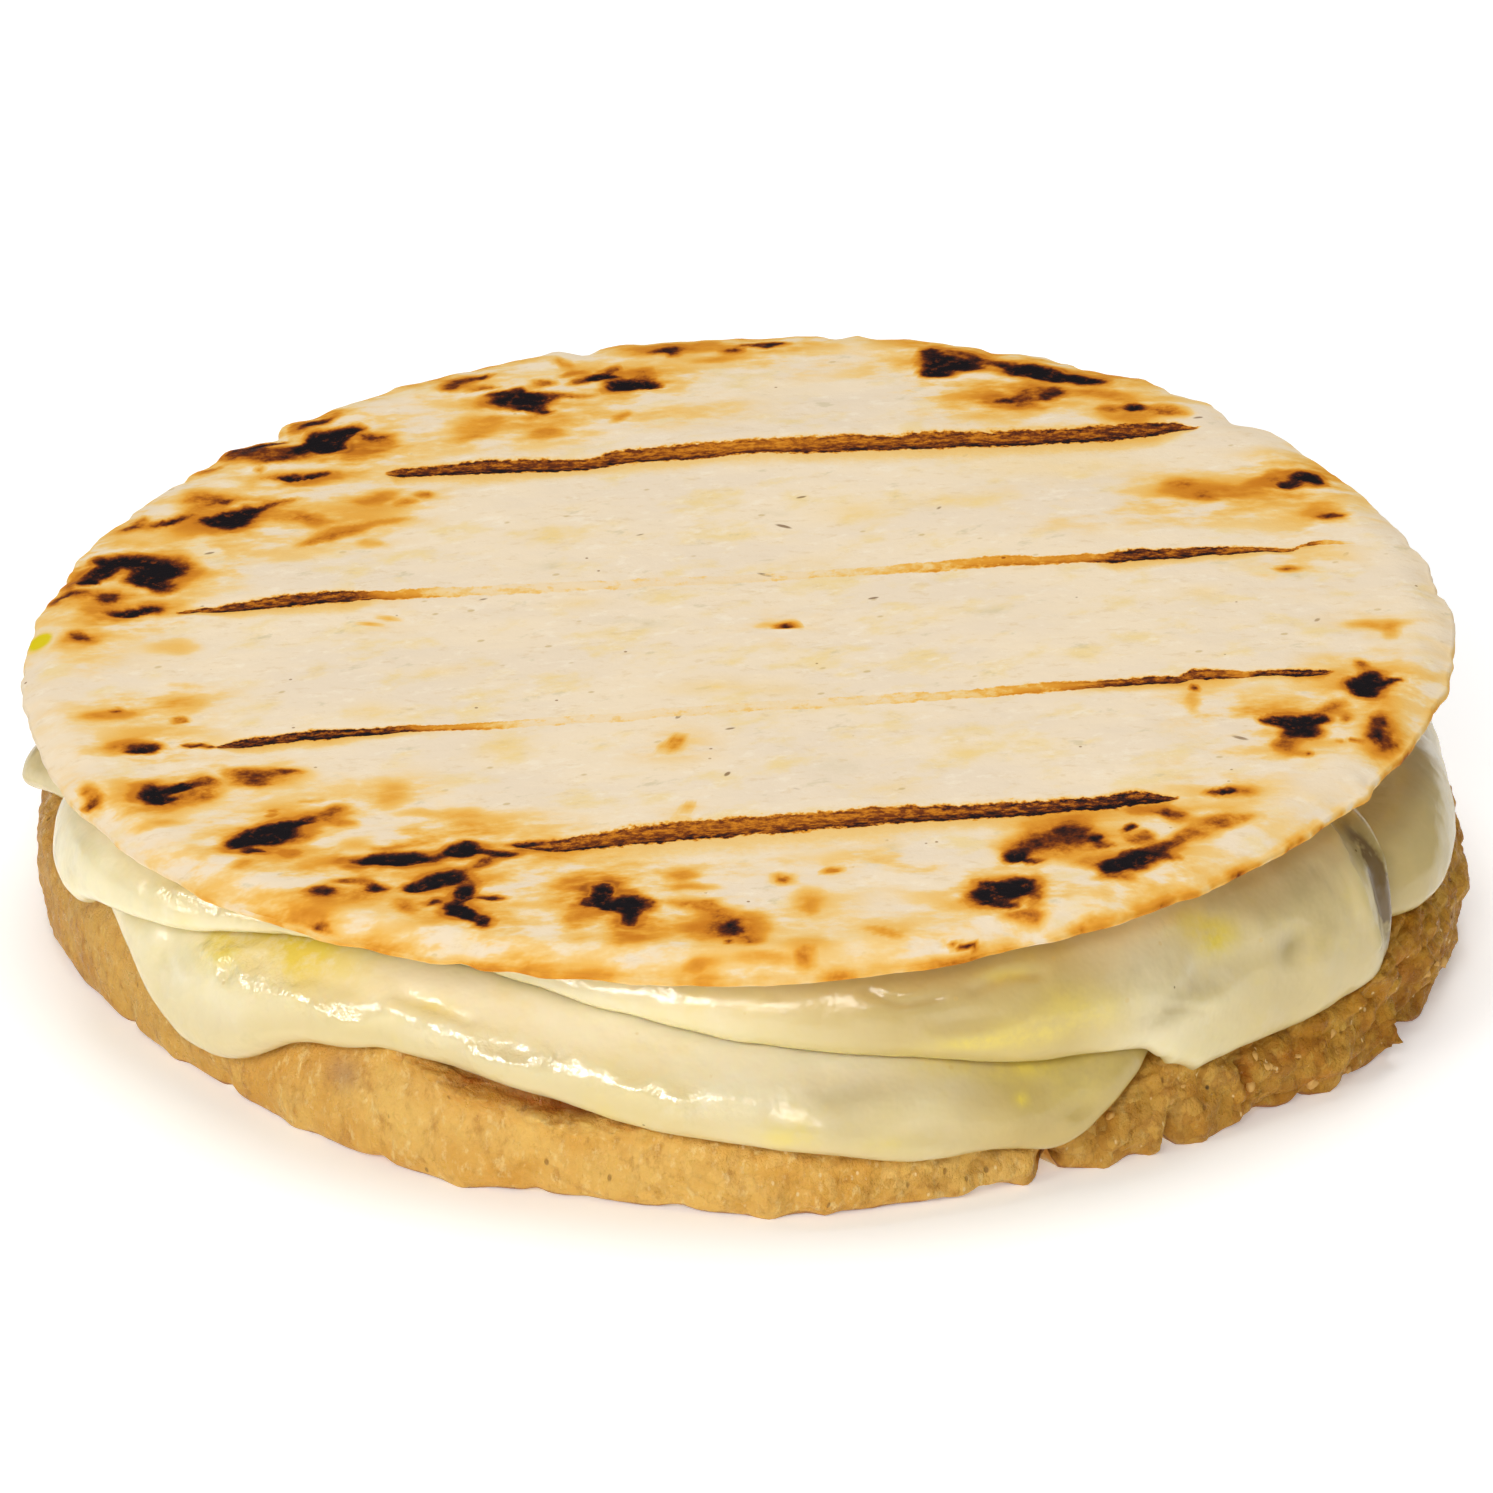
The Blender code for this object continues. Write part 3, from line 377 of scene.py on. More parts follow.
GOLDEN_BAND, RIM_BAND = (34, 50), (52, 55)  # radii over which the crust turns golden
UNDER_LEVEL = 0.05  # skin below this height, in millimetres, is the underside
UNDER_GROOVE_DEPTH = 0.3 * MM
GLOW_REACH = 2.2  # how far past a toast mark the crust is golden, in millimetres
MARK_FALLOFF = 0.46  # how far a toast mark has faded at its half length or half width
LINE_END = 0.3  # over how many millimetres a grill line starts and ends

# Hollows and lumps on the skins: angle, height, half width round the cake, half height, how
# far the skin comes out, all but the angle in millimetres
BASE_DENTS = (
    (245.5, 8.9, 1.8, 0.9, -0.5), (249.5, 8, 1.4, 0.7, -0.4), (253.8, 7.4, 3.2, 0.8, -0.5),
    (246.5, 7.2, 3, 0.6, 0.7), (254, 6, 4, 0.7, 0.6), (239, 8.6, 2.4, 0.6, 0.4),
    (330.2, 7.4, 1.6, 1.4, 1), (331, 3.6, 0.8, 2.4, 0.8), (335, 5.2, 2.2, 3.2, -1.4),
    (339.5, 2.2, 1.8, 1.6, -0.6), (341.5, 5.6, 2.4, 0.6, 0.7), (345, 3.2, 2.6, 1, -0.5),
    (307.5, 6.4, 3, 1.8, 0.8), (314.8, 3.8, 0.5, 1.8, -0.8), (320, 5.6, 3.4, 1.2, -0.7),
    (324, 3, 3, 1, 0.6), (295.5, 1, 1.2, 1.6, -0.9), (306.6, 1, 0.8, 1.4, -0.9),
    (303, 7, 2, 1.2, -0.4), (217, 1.2, 2.4, 1.6, -0.4), (226, 0.8, 2, 1.4, -0.3),
    (237, 0.8, 2.6, 1.4, 0.4), (216, 6, 1.4, 2.4, -0.3), (262, 0.8, 2.4, 1.2, -0.3),
    (290, 3.2, 2.4, 1.2, -0.4),
)
LOWER_DENTS = (
    (223, 11.2, 5, 2, 0.5), (232.5, 13.6, 3, 1.2, -0.5), (237.5, 10.6, 2, 1.8, -0.7),
    (243, 12.6, 1.6, 1.6, 0.5), (249, 11, 4, 1.8, 0.6), (262, 10.4, 7, 1.8, 0.4),
    (275, 7.6, 4, 1.6, 0.6), (284, 7.2, 2.4, 1.6, -0.5), (291, 7, 2.4, 1.4, 0.5),
    (297.5, 6.8, 1.4, 1.4, -0.4), (214, 10, 1.6, 2.4, -0.4), (218, 14, 2, 1, 0.3),
)
UPPER_DENTS = (
    (318.8, 14.4, 1.5, 1.1, -0.55), (316, 16.6, 3, 1.6, 0.4), (297, 15, 6, 1.6, 0.5),
    (309, 12.6, 4, 1.2, 0.5), (205, 15.4, 4, 1.6, 0.4), (216, 16.6, 4, 1, -0.4),
    (329.4, 14, 1, 3.6, -0.8), (288, 15.2, 4, 1, -0.3), (321.5, 12, 1.6, 2, 0.3),
)
# Folds: rows of angle and height, then half width and how far the skin comes out
LOWER_FOLDS = (
    (((239.2, 13.8), (242.5, 13.6), (245.7, 13.2)), 0.45, -0.45),
    (((239, 13), (243, 12.8), (246.5, 12.4)), 0.9, 0.25),
)
UPPER_FOLDS = (
    (((328.4, 20.3), (326.9, 18), (326.6, 14.8), (327.6, 11.5)), 0.35, 0.5),
    (((324, 18.6), (325, 15.6), (325.4, 13.2)), 0.25, -0.2),
    (((288.6, 17.1), (291.3, 17.9), (294.2, 17.7)), 0.4, -0.25),
    (((279.5, 17.6), (282.5, 16.6), (285.6, 16.9)), 0.3, -0.2),
    (((304.6, 13.4), (306.4, 13), (308.7, 11.9)), 0.3, -0.14),
)
# Blistered skin on the cheese: angle, height, half width, half height, how lumpy
LOWER_BLISTERS = (
    (222.5, 12.2, 5, 1.4, 1.2), (229, 11.8, 3, 1.2, 1), (234, 11.8, 2.2, 1, 0.8),
    (243, 12.2, 2, 1.4, 0.9), (248, 11.8, 2.6, 1.3, 0.9), (253.5, 11.6, 3.4, 1.1, 0.8),
    (261, 10.6, 3, 1, 0.6), (266.5, 9.4, 3, 1.2, 0.9),
)
UPPER_BLISTERS = (
    (214.5, 16.4, 1.8, 0.8, 1), (219, 16.2, 2.6, 0.8, 0.9), (225, 15.8, 3, 0.7, 0.7),
    (263, 18, 3.4, 0.8, 0.8), (307, 18.6, 1.4, 0.6, 0.5), (311, 16.6, 1.6, 1, 0.3),
)
# Yellow oil patches, and grey patches, partly translucent cheese and partly painted shade in
# folds and on the right, on the cheese: angle, height, half width, half height, strength
LOWER_OIL = (
    (216.5, 14.4, 3, 0.9, 1.1), (225.7, 14.8, 4, 0.9, 1.1), (220, 12.8, 3.4, 1.6, 0.8),
    (228, 13.4, 2.6, 1.2, 0.7), (233, 14.4, 3, 1, 0.4), (242.6, 13.6, 2, 0.5, 0.45),
    (272.6, 7.6, 2, 0.9, 0.45), (281, 6.8, 2, 0.7, 0.3), (293, 10.4, 3, 0.9, 0.6),
    (287, 11.4, 3, 0.8, 0.6), (292, 8.2, 0.5, 0.5, 0.8), (298, 9, 5, 2.4, 0.35),
)
LOWER_GREY_AND_SHADE = (
    (180, 14, 5, 4, 0.6), (278, 10.2, 5, 0.9, 0.3), (298, 9, 3, 1.6, 0.4), (303, 8, 2, 2.4, 0.5),
    (345, 12, 9, 5, 0.5),
)
UPPER_OIL = (
    (311.3, 16.8, 2, 1.3, 1), (309, 18.4, 2.4, 1, 0.4), (287.9, 13.4, 2.4, 0.6, 0.6),
    (292.6, 13.6, 3.4, 1.4, 0.5), (298, 14.6, 3, 1.6, 0.4), (291.3, 17.9, 2, 0.4, 0.5),
    (295.5, 16, 2, 1, 0.3), (270, 17.4, 4, 0.8, 0.15),
)
UPPER_GREY_AND_SHADE = (
    (318.8, 14.4, 1.3, 0.9, 0.5), (330.2, 15, 1.8, 5.5, 2.4), (321.5, 18, 2, 2.5, 0.3),
    (302, 16.4, 6, 1.6, 0.2), (284, 16.6, 5, 1, 0.35), (307, 13.6, 4, 1, 0.3),
    (304, 12.6, 2, 0.8, 0.4), (314, 19, 5, 1.6, 0.4),
)
# Loose crumbs: angle, height, how many, spread
CRUMB_SPOTS = (
    (315.7, 4.3, 4, 0.7), (317.4, 3.9, 3, 0.5), (322.1, 2.6, 6, 1.2), (325.6, 2.2, 4, 1),
    (308, 5.6, 3, 1.6), (300, 4.6, 3, 1.8), (340, 3.6, 4, 2), (20, 5, 5, 8), (70, 5, 5, 10),
    (120, 5, 5, 10),
)
# How crumbly the torn edge is: angles and shares
CRUMBLY = (
    (0, 60, 180, 200, 250, 268, 285, 300, 345, 360),
    (0.5, 0.4, 0.3, 0.1, 0.14, 0.26, 0.5, 0.62, 0.66, 0.5),
)
# How damp and dark the torn edge is, and painted shade on its right side: angles and shares
DAMP_AND_PAINTED_SHADE = (
    (0, 60, 170, 188, 214, 236, 250, 280, 295, 310, 330, 360),
    (1, 0.6, 0.6, 0.75, 0.35, 0.05, 0, 0, 0.3, 0.75, 1, 1),
)
# Painted shade on a slab's face, from white to a darker creamy yellow: angles and shares
LOWER_PAINTED_SHADE = ((0, 180, 200, 272, 284, 292, 305, 360), (0.5, 0.3, 0, 0, 0.35, 1, 1, 0.6))
UPPER_PAINTED_SHADE = (
    (0, 180, 200, 258, 270, 282, 296, 303, 309, 316, 330, 360),
    (0.5, 0.3, 0, 0, 0.3, 0.85, 0.9, 0.2, 0.2, 0.65, 0.65, 0.5),
)
# Painted light, paler, high on a slab's face and painted shade, creamier, low at its lip: angles
# and shares
LOWER_PAINTED_LIGHT_AND_SHADE = ((0, 200, 222, 276, 292, 360), (0, 0, 1, 1, 0, 0))
UPPER_PAINTED_LIGHT_AND_SHADE = ((0, 360), (0, 0))
# Ledges and clefts in the torn edge: rows of angle and height, half width, how far they come
# out
BASE_FOLDS = (
    (((238.5, 9), (243, 8.2), (247, 7.3), (252, 6.6), (257, 6.1), (262, 6)), 0.5, 0.9),
    (((242.5, 9.3), (246, 8.5), (250, 7.9), (256, 7.3)), 0.35, -0.4),
    (((243.6, 8.8), (247.2, 8.1), (251, 7.2)), 0.3, 0.5),
    (((326, 6.4), (329, 7.8), (332, 8.2)), 0.6, 0.8),
    (((331.4, 7.4), (331.6, 4.6), (331, 2)), 0.5, 0.7),
    (((313.9, 5.6), (314.8, 4), (316.1, 2.2)), 0.35, -0.9),
)
# Nicks and lumps of its foot: angle, half width round it, how far it comes out
FOOT_NICKS = (
    (293.4, 1.1, 0.9), (295.9, 0.6, -1.9), (301, 1.4, 0.6), (305.3, 0.9, 0.7), (307, 0.5, -1.1),
    (310, 1.6, 0.8), (316.5, 1.5, -0.6), (324, 1.2, 0.7), (321.3, 0.7, -0.5), (332, 2, 0.1),
    (335.4, 1.8, -1.2), (345, 1.8, -0.6), (349.5, 1.2, 0.2), (289, 1, -0.5), (276, 0.8, 0.4),
    (271.5, 1, 0.5), (264, 1.2, -0.4), (252, 0.8, -0.3), (246, 1.2, 0.4), (238, 1, -0.4),
    (228, 1.4, 0.3), (219, 0.8, -0.4), (211, 1, 0.3), (204, 1, -0.4), (20, 1.4, -0.8),
    (52, 1.2, -0.7), (83, 1.6, 0.5), (118, 1.2, -0.8), (150, 1.4, -0.6),
)
# Painted shade, warm brown, in the gaps under the ledges and in hollows: angle, height, half
# width, half height, strength
BASE_GAP_SHADE = (
    (250, 7.2, 7, 1, 0.28), (246.2, 8.5, 1.6, 0.6, 0.9), (250, 8, 1.2, 0.5, 0.6),
    (253.6, 7.5, 2.6, 0.6, 1), (335, 5.4, 1.2, 2.4, 0.8), (314.9, 3.8, 0.4, 1.4, 0.8),
    (300.5, 7, 1.2, 0.8, 0.5), (319.5, 4.6, 1.6, 0.5, 0.6), (295.3, 1, 0.5, 1.4, 0.8),
    (306.5, 0.8, 0.5, 1.2, 0.7), (322, 2, 1.4, 0.5, 0.6),
)
# Golden rim of the upper half: angles, 90 to 450, and how golden
RIM_GLOW = (
    (90, 120, 150, 175, 188, 205, 222, 240, 255, 275, 290, 300, 330, 350, 380, 410, 430, 450),
    (1, 1.2, 1, 0.4, 0.1, 0.1, 0.5, 1.2, 0.9, 0.55, 0.35, 0.3, 0.3, 0.3, 0.4, 0.8, 1, 1),
)
# How brown the lower corner of that rim is: angles, 90 to 450, and shares
RIM_UNDERSIDE = (
    (90, 150, 185, 225, 250, 262, 300, 325, 345, 400, 450),
    (0.4, 0.4, 0, 0.1, 0.3, 0.15, 0.35, 0.5, 0.2, 0.3, 0.4),
)
CRUMB_SIZE, CRUMB_WANDER = 1.1, 1.3 * MM  # of the crumbs drawn on the torn edge
CRUMB_SIZES = (0.25, 0.6)  # half widths of the loose crumbs, least and most
CRUMB_SUNK = 0.5  # how deep a loose crumb sits in the torn edge, as a share of its half width
CRUMB_LEVELS = (1.2, 8.5)  # the lowest and highest loose crumb
MM_PER_DEGREE = 0.94  # round the cake
SMUDGES = ((233.8, 6.3, 1.6, 1.2, 0.6), (214, 3.5, 1.2, 1, 0.4))  # rows like the painted gap shade table


# Shapes


def sizes_round(angle, table):
    """The sizes at each angle, in metres, on smooth closed curves through the table's rows."""
    rows = np.array(table, float)
    at = np.degrees(angle) % 360
    after = np.searchsorted(rows[:, 0], at, side="right")
    near = [rows[(after + step) % len(rows)] for step in (-2, -1, 0, 1)]
    before, low, high, beyond = (row[:, 1:] for row in near)
    places = [((row[:, 0] - at + 180) % 360 - 180)[:, None] for row in near]
    stretch = places[2] - places[1]
    share = -places[1] / stretch
    rise_in = (high - before) / (places[2] - places[0]) * stretch
    rise_out = (beyond - low) / (places[3] - places[1]) * stretch
    size = low + (high - low) * share * share * (3 - 2 * share)
    size += rise_in * share * (1 - share) ** 2 - rise_out * (1 - share) * share**2
    return list(size.T * MM)


def smooth_step(low, high, value):
    share = np.clip((value - low) / (high - low), 0, 1)
    return share * share * (3 - 2 * share)


def quarter_round(share):
    return np.sqrt(1 - np.clip(share, 0, 1) ** 2)


def quarter_turn(start, end, place):
    """An angle that goes from 0 to a right angle as the place goes from start down to end."""
    return np.clip((start - place) / (start - end), 0, 1) * math.pi / 2


def base_edge(angle):
    """(radius where the rounded edge starts, outermost radius, edge height, wall height)"""
    reach, height, wall, shoulder = sizes_round(angle, BASE_ROUND)
    return reach - shoulder, reach, height, wall


def base_plateau(radius, angle):
    """Height of the lower half's flat top, under the filling."""
    start, _, height, _ = base_edge(angle)
    inwards = 1 - smooth_step(BASE_MIDDLE_SHARE, 1.0, radius / start)
    return height + (BASE_MIDDLE_HEIGHT - height) * inwards


def base_top(radius, angle):
    """Height of the lower half as seen from above, edge and all."""
    start, reach, height, wall = base_edge(angle)
    edge = wall + (height - wall) * quarter_round((radius - start) / (reach - start))
    return np.where(radius <= start, base_plateau(radius, angle), edge)


def base_section(angle, place):
    """(radius, height) on the lower half; place runs from 1, mid-top, to -1, mid-under."""
    start, reach, height, wall = base_edge(angle)
    inner = start * (1 - place) / (1 - BASE_EDGE_FROM)
    edge_turn = quarter_turn(BASE_EDGE_FROM, BASE_FOOT_FROM, place)
    foot_turn = quarter_turn(BASE_FOOT_FROM, BASE_UNDER_FROM, place)
    foot = reach - BASE_FOOT_ROUNDING * (1 - np.cos(foot_turn))
    under = (reach - BASE_FOOT_ROUNDING) * (1 + place) / (1 + BASE_UNDER_FROM)
    zones = [place > BASE_EDGE_FROM, place > BASE_FOOT_FROM, place > BASE_UNDER_FROM]
    radius = np.select(zones, [inner, start + (reach - start) * np.sin(edge_turn), foot], under)
    heights = [
        base_plateau(inner, angle),
        wall + (height - wall) * np.cos(edge_turn),
        wall * (1 - np.sin(foot_turn)),
    ]
    return radius, np.select(zones, heights, 0.0)


def lid_underside(radius, angle):
    """Height of the upper half's tilted underside, where it is thickest."""
    x, y = radius * np.cos(angle), radius * np.sin(angle)
    rise = math.tan(math.radians(LID_RIGHT_RISE)) * (x - LID_MIDDLE.x)
    rise += math.tan(math.radians(LID_BACK_RISE)) * (y - LID_MIDDLE.y)
    return LID_MIDDLE.z + rise - LID_MIDDLE_THICKNESS / 2


def lower_outline(angle):
    """(radius where the rim starts, outermost radius, radius of the lip) of the lower slab"""
    lip, swell, shoulder, _ = sizes_round(angle, LOWER_ROUND)
    return lip + swell - shoulder, lip + swell, lip


def upper_outline(angle):
    lip, swell, shoulder = sizes_round(angle, UPPER_ROUND)
    return lip + swell - shoulder, lip + swell, lip


def lower_plateau(radius, angle):
    """Height of the lower slab inside its rim."""
    share = sizes_round(angle, LOWER_ROUND)[3] / MM / 100
    share = 0.5 + (share - 0.5) * smooth_step(*EVEN_FILLING, radius)
    bottom = base_plateau(np.minimum(radius, base_edge(angle)[0]), angle)
    return bottom + (lid_underside(radius, angle) - bottom) * share


def lower_ground(radius, angle):
    """What the lower slab lies on."""
    start = base_edge(angle)[0]
    outwards = CLEARANCE * (EDGE_CLEARANCE + smooth_step(start, start + FALL_REACH, radius))
    return base_top(radius - outwards, angle) - SINK


def belly_height(top, lip_height):
    return lip_height + BELLY_SHARE * (top - lip_height)


def lower_top(radius, angle):
    """Height of the lower slab's surface as seen from above, falling away past its rim."""
    start, reach, lip = lower_outline(angle)
    top = lower_plateau(start, angle)
    belly = belly_height(top, lower_ground(lip, angle))
    rim = belly + (top - belly) * quarter_round((radius - start) / (reach - start))
    rim = rim - RAMP_SLOPE * np.maximum(radius - reach, 0)
    return np.where(radius <= start, lower_plateau(radius, angle), rim)


def upper_ground(radius, angle):
    """What the upper slab lies on: the lower slab where there is one, else the lower half."""
    under = [
        surface(radius + step * NEARBY_REACH, angle)
        for surface in (base_top, lower_top)
        for step in NEARBY_STEPS
    ]
    under += [lower_top(radius, angle + step * NEARBY_TURN) for step in NEARBY_STEPS]
    return np.max(under, axis=0) - SINK


def slab_section(angle, place, outline, top_of, ground_of):
    """(radius, height) on a slab of cheese; place runs from 1, mid-top, to -1, mid-under."""
    start, reach, lip = outline
    top, lip_height = top_of(start, angle), ground_of(lip, angle)
    belly = belly_height(top, lip_height)
    inner = start * (1 - place) / (1 - SLAB_RIM_FROM)
    rim_turn = quarter_turn(SLAB_RIM_FROM, 0, place)
    lip_turn = quarter_turn(0, SLAB_UNDER_FROM, place)
    inwards = np.clip((SLAB_UNDER_FROM - place) / (1 + SLAB_UNDER_FROM), 0, 1)
    under = lip * (1 - inwards**2)
    zones = [place > SLAB_RIM_FROM, place > 0, place > SLAB_UNDER_FROM]
    rim, fall = start + (reach - start) * np.sin(rim_turn), lip + (reach - lip) * np.cos(lip_turn)
    heights = [
        top_of(inner, angle),
        belly + (top - belly) * np.cos(rim_turn),
        belly - (belly - lip_height) * np.sin(lip_turn),
    ]
    radius = np.select(zones, [inner, rim, fall], under)
    return radius, np.select(zones, heights, ground_of(under, angle))


def lid_section(angle, place):
    """(radius, height) on the upper half before it is tilted, its middle plane at 0."""
    (reach,) = sizes_round(angle, LID_ROUND)
    share = (1 - np.abs(place)) / (1 - LID_EDGE_PLACE)
    crown = (LID_MIDDLE_THICKNESS - LID_RIM_THICKNESS) / 2
    full = LID_RIM_THICKNESS / 2 + crown * (1 - smooth_step(LID_CROWN_FROM, 1.0, share))
    front = 0.5 - 0.5 * np.sin(angle)
    drop = (LID_BACK_DROP + (LID_FRONT_DROP - LID_BACK_DROP) * front) * MM
    fall = drop * np.clip((share - 1 + LID_RIM_ROLL) / LID_RIM_ROLL, 0, 1) ** 1.7
    turn = np.clip(place / LID_EDGE_PLACE, -1, 1) * math.pi / 2
    top_edge, bottom_edge = LID_RIM_THICKNESS / 2 - drop, -LID_RIM_THICKNESS / 2
    middle, half = (top_edge + bottom_edge) / 2, (top_edge - bottom_edge) / 2
    zones = [place > LID_EDGE_PLACE, place > -LID_EDGE_PLACE]
    flat = (reach - LID_RIM_DEPTH) * share
    edge = reach - LID_RIM_DEPTH * (1 - np.cos(turn))
    radius = np.where(np.abs(place) > LID_EDGE_PLACE, flat, edge)
    return radius, np.select(zones, [full - fall, middle + half * np.sin(turn)], -full)


# Surface fields


def lumps(spots, size, octaves=1, shift=0.0, stretch=(1, 1, 1)):
    """Soft random lumps of about that size, from -1 to 1, at each spot."""
    at = spots / (size * np.array(stretch)) + shift
    return np.array([noise.fractal(Vector(spot), 1.0, 2.0, octaves) for spot in at])


def grains(spots, size, shift=0.0):
    """1 in the middle of each rounded grain of about that size, falling to 0 between grains."""
    at = spots / size + shift
    far = np.array([noise.voronoi(Vector(spot))[0][0] for spot in at])
    return np.sqrt(np.clip(1 - (far / 0.75) ** 2, 0, 1))


def out_mm(spots):
    """How far each spot is from the middle, in millimetres."""
    return np.hypot(spots[:, 0], spots[:, 1]) / MM


def unrolled(spots):
    """Each spot's angle in degrees, from 90 to 450, and height in millimetres."""
    angle = (np.degrees(np.arctan2(spots[:, 1], spots[:, 0])) - 90) % 360 + 90
    return angle, spots[:, 2] / MM


def patches(spots, table):
    """The table's soft round patches added up: angle, height, half width, half height, amount."""
    angle, height = unrolled(spots)
    round_mm = out_mm(spots) * math.radians(1)
    total = np.zeros(len(spots))
    for at, level, wide, high, amount in table:
        at = (at - 90) % 360 + 90
        away = ((angle - at) * round_mm / wide) ** 2 + ((height - level) / high) ** 2
        total += amount * np.exp(-away)
    return total


def folds(spots, table):
    """The table's ridges and creases added up, each along its own path."""
    angle, height = unrolled(spots)
    round_mm = out_mm(spots) * math.radians(1)
    total = np.zeros(len(spots))
    for path, wide, amount in table:
        away = np.full(len(spots), np.inf)
        for (a1, h1), (a2, h2) in zip(path, path[1:]):
            across, up = (a2 - a1) * round_mm, h2 - h1
            dx, dy = (angle - a1) * round_mm, height - h1
            share = np.clip((dx * across + dy * up) / (across**2 + up**2), 0, 1)
            away = np.minimum(away, (dx - share * across) ** 2 + (dy - share * up) ** 2)
        total += amount * np.exp(-away / wide**2)
    return total


def nicks(angle, radius, table):
    """The table's nicks and lumps of an outline added up, in millimetres."""
    round_mm = radius * math.radians(1)
    return sum(
        amount * np.exp(-(((angle - (at - 90) % 360 - 90) * round_mm / wide) ** 2))
        for at, wide, amount in table
    )


def toast(spots, marks, wander):
    """(heat of the toast marks, warmth of the golden glow round them) at each spot"""
    flat = spots[:, :2] / MM
    bend = np.column_stack([lumps(spots, 2.6 * MM, 4, 3.1), lumps(spots, 2.6 * MM, 4, 8.7)])
    flat = flat + bend * wander
    left, warmth = np.ones(len(spots)), np.zeros(len(spots))
    for x, y, long, wide, turn, heat in marks:
        turn = math.radians(turn)
        dx, dy = flat[:, 0] - x, flat[:, 1] - y
        along = dx * math.cos(turn) + dy * math.sin(turn)
        across = dy * math.cos(turn) - dx * math.sin(turn)
        far = (along / long) ** 2 + (across / wide) ** 2
        crisp = 1.6 + 0.6 * smooth_step(0.5, 0.9, heat)
        left *= 1 - heat * np.exp(-MARK_FALLOFF * far**crisp)
        around = (along / (long + GLOW_REACH)) ** 2 + (across / (wide + GLOW_REACH)) ** 2
        warmth = np.maximum(warmth, heat * min(long * wide, 1.0) ** 0.5 * np.exp(-0.5 * around))
    return 1 - left, warmth


def grooves(spots, lines, wander):
    """(place across the nearest grill line in half widths, that line's heat) at each spot"""
    x, y = spots[:, 0] / MM, spots[:, 1] / MM + lumps(spots, 3 * MM, 3, 5.3) * wander
    across, heat = np.full(len(spots), 9.0), np.zeros(len(spots))
    for rows in lines:
        along, *sizes = zip(*rows)
        middle, wide, warm = (np.interp(x, along, size) for size in sizes)
        this = (y - middle) / wide
        ends = smooth_step(along[0] - LINE_END, along[0], x)
        ends = ends * smooth_step(-along[-1] - LINE_END, -along[-1], -x)
        near = np.abs(this) < np.abs(across)
        heat = np.where(near, warm * ends, heat)
        across = np.where(near, this, across)
    heat *= 1 - smooth_step(3.0, 4.0, np.abs(across))
    return np.clip(across, -4, 4), heat


# Making pieces


def spots_of(mesh):
    spots = np.empty(len(mesh.vertices) * 3)
    mesh.vertices.foreach_get("co", spots)
    return spots.reshape(-1, 3)


def skin_normals(mesh):
    normals = np.empty(len(mesh.vertices) * 3)
    mesh.vertex_normals.foreach_get("vector", normals)
    return normals.reshape(-1, 3)


def add(name, data):
    made = bpy.data.objects.new(name, data)
    bpy.context.scene.collection.objects.link(made)
    return made


def finished_mesh(name, sheet):
    mesh = bpy.data.meshes.new(name)
    sheet.to_mesh(mesh)
    sheet.free()
    return mesh


def round_piece(name, sides, rings, places, section):
    """A closed round piece: a grid wrapped round the sections, with its seam and middles merged.

    places gives (share of the rings, place on the section), to crowd rings where more shows.
    """
    sheet = bmesh.new()
    bmesh.ops.create_grid(sheet, x_segments=sides, y_segments=rings, size=1)
    flat = np.array([vertex.co for vertex in sheet.verts])
    angle = flat[:, 0] * math.pi
    place = np.interp((1 - flat[:, 1]) / 2, *zip(*places))
    radius, height = section(angle, place)
    spots = np.column_stack([radius * np.cos(angle), radius * np.sin(angle), height])
    for vertex, spot in zip(sheet.verts, spots):
        vertex.co = spot
    rims = [vertex for vertex in sheet.verts if vertex.is_boundary]
    bmesh.ops.remove_doubles(sheet, verts=rims, dist=0.001 * MM)
    mesh = finished_mesh(name, sheet)
    mesh.shade_smooth()
    return add(name, mesh)


def reshape(piece, spots):
    piece.data.vertices.foreach_set("co", spots.ravel())
    piece.data.update()


def swell(piece, amount):
    """Moves the skin out along its own normals by that many millimetres at each spot."""
    reshape(piece, spots_of(piece.data) + skin_normals(piece.data) * (amount * MM)[:, None])


def note(piece, name, values):
    """Keeps a value at each spot for the piece's finish to read."""
    layer = piece.data.attributes.new(name, "FLOAT", "POINT")
    layer.data.foreach_set("value", np.asarray(values, np.float32))


def settle(piece, node):
    """Says what the piece moves with and hides the CAD piece it stands in for."""
    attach(piece, "root")
    if node:
        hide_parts(node)


# Finishes


def tint(red, green, blue):
    """A display colour, 0 to 255, as the light it stands for."""
    shares = (value / 255 for value in (red, green, blue))
    return (*(s / 12.92 if s < 0.04045 else ((s + 0.055) / 1.055) ** 2.4 for s in shares), 1.0)


class Signal:
    """What a socket gives out. Adding, multiplying and so on makes the nodes that do it; | is
    the larger of two and & the smaller.
    """

    def __init__(self, finish, socket):
        self.finish = finish
        self.socket = socket

    def maths(self, operation, first, second=0.0):
        return self.finish.node("Math", {"operation": operation}, (first, second))

    def __add__(self, other):
        return self.maths("ADD", self, other)

    __radd__ = __add__

    def __sub__(self, other):
        return self.maths("SUBTRACT", self, other)

    def __mul__(self, other):
        return self.maths("MULTIPLY", self, other)

    def __abs__(self):
        return self.maths("ABSOLUTE", self)

    def __or__(self, other):
        return self.maths("MAXIMUM", self, other)

    def __and__(self, other):
        return self.maths("MINIMUM", self, other)


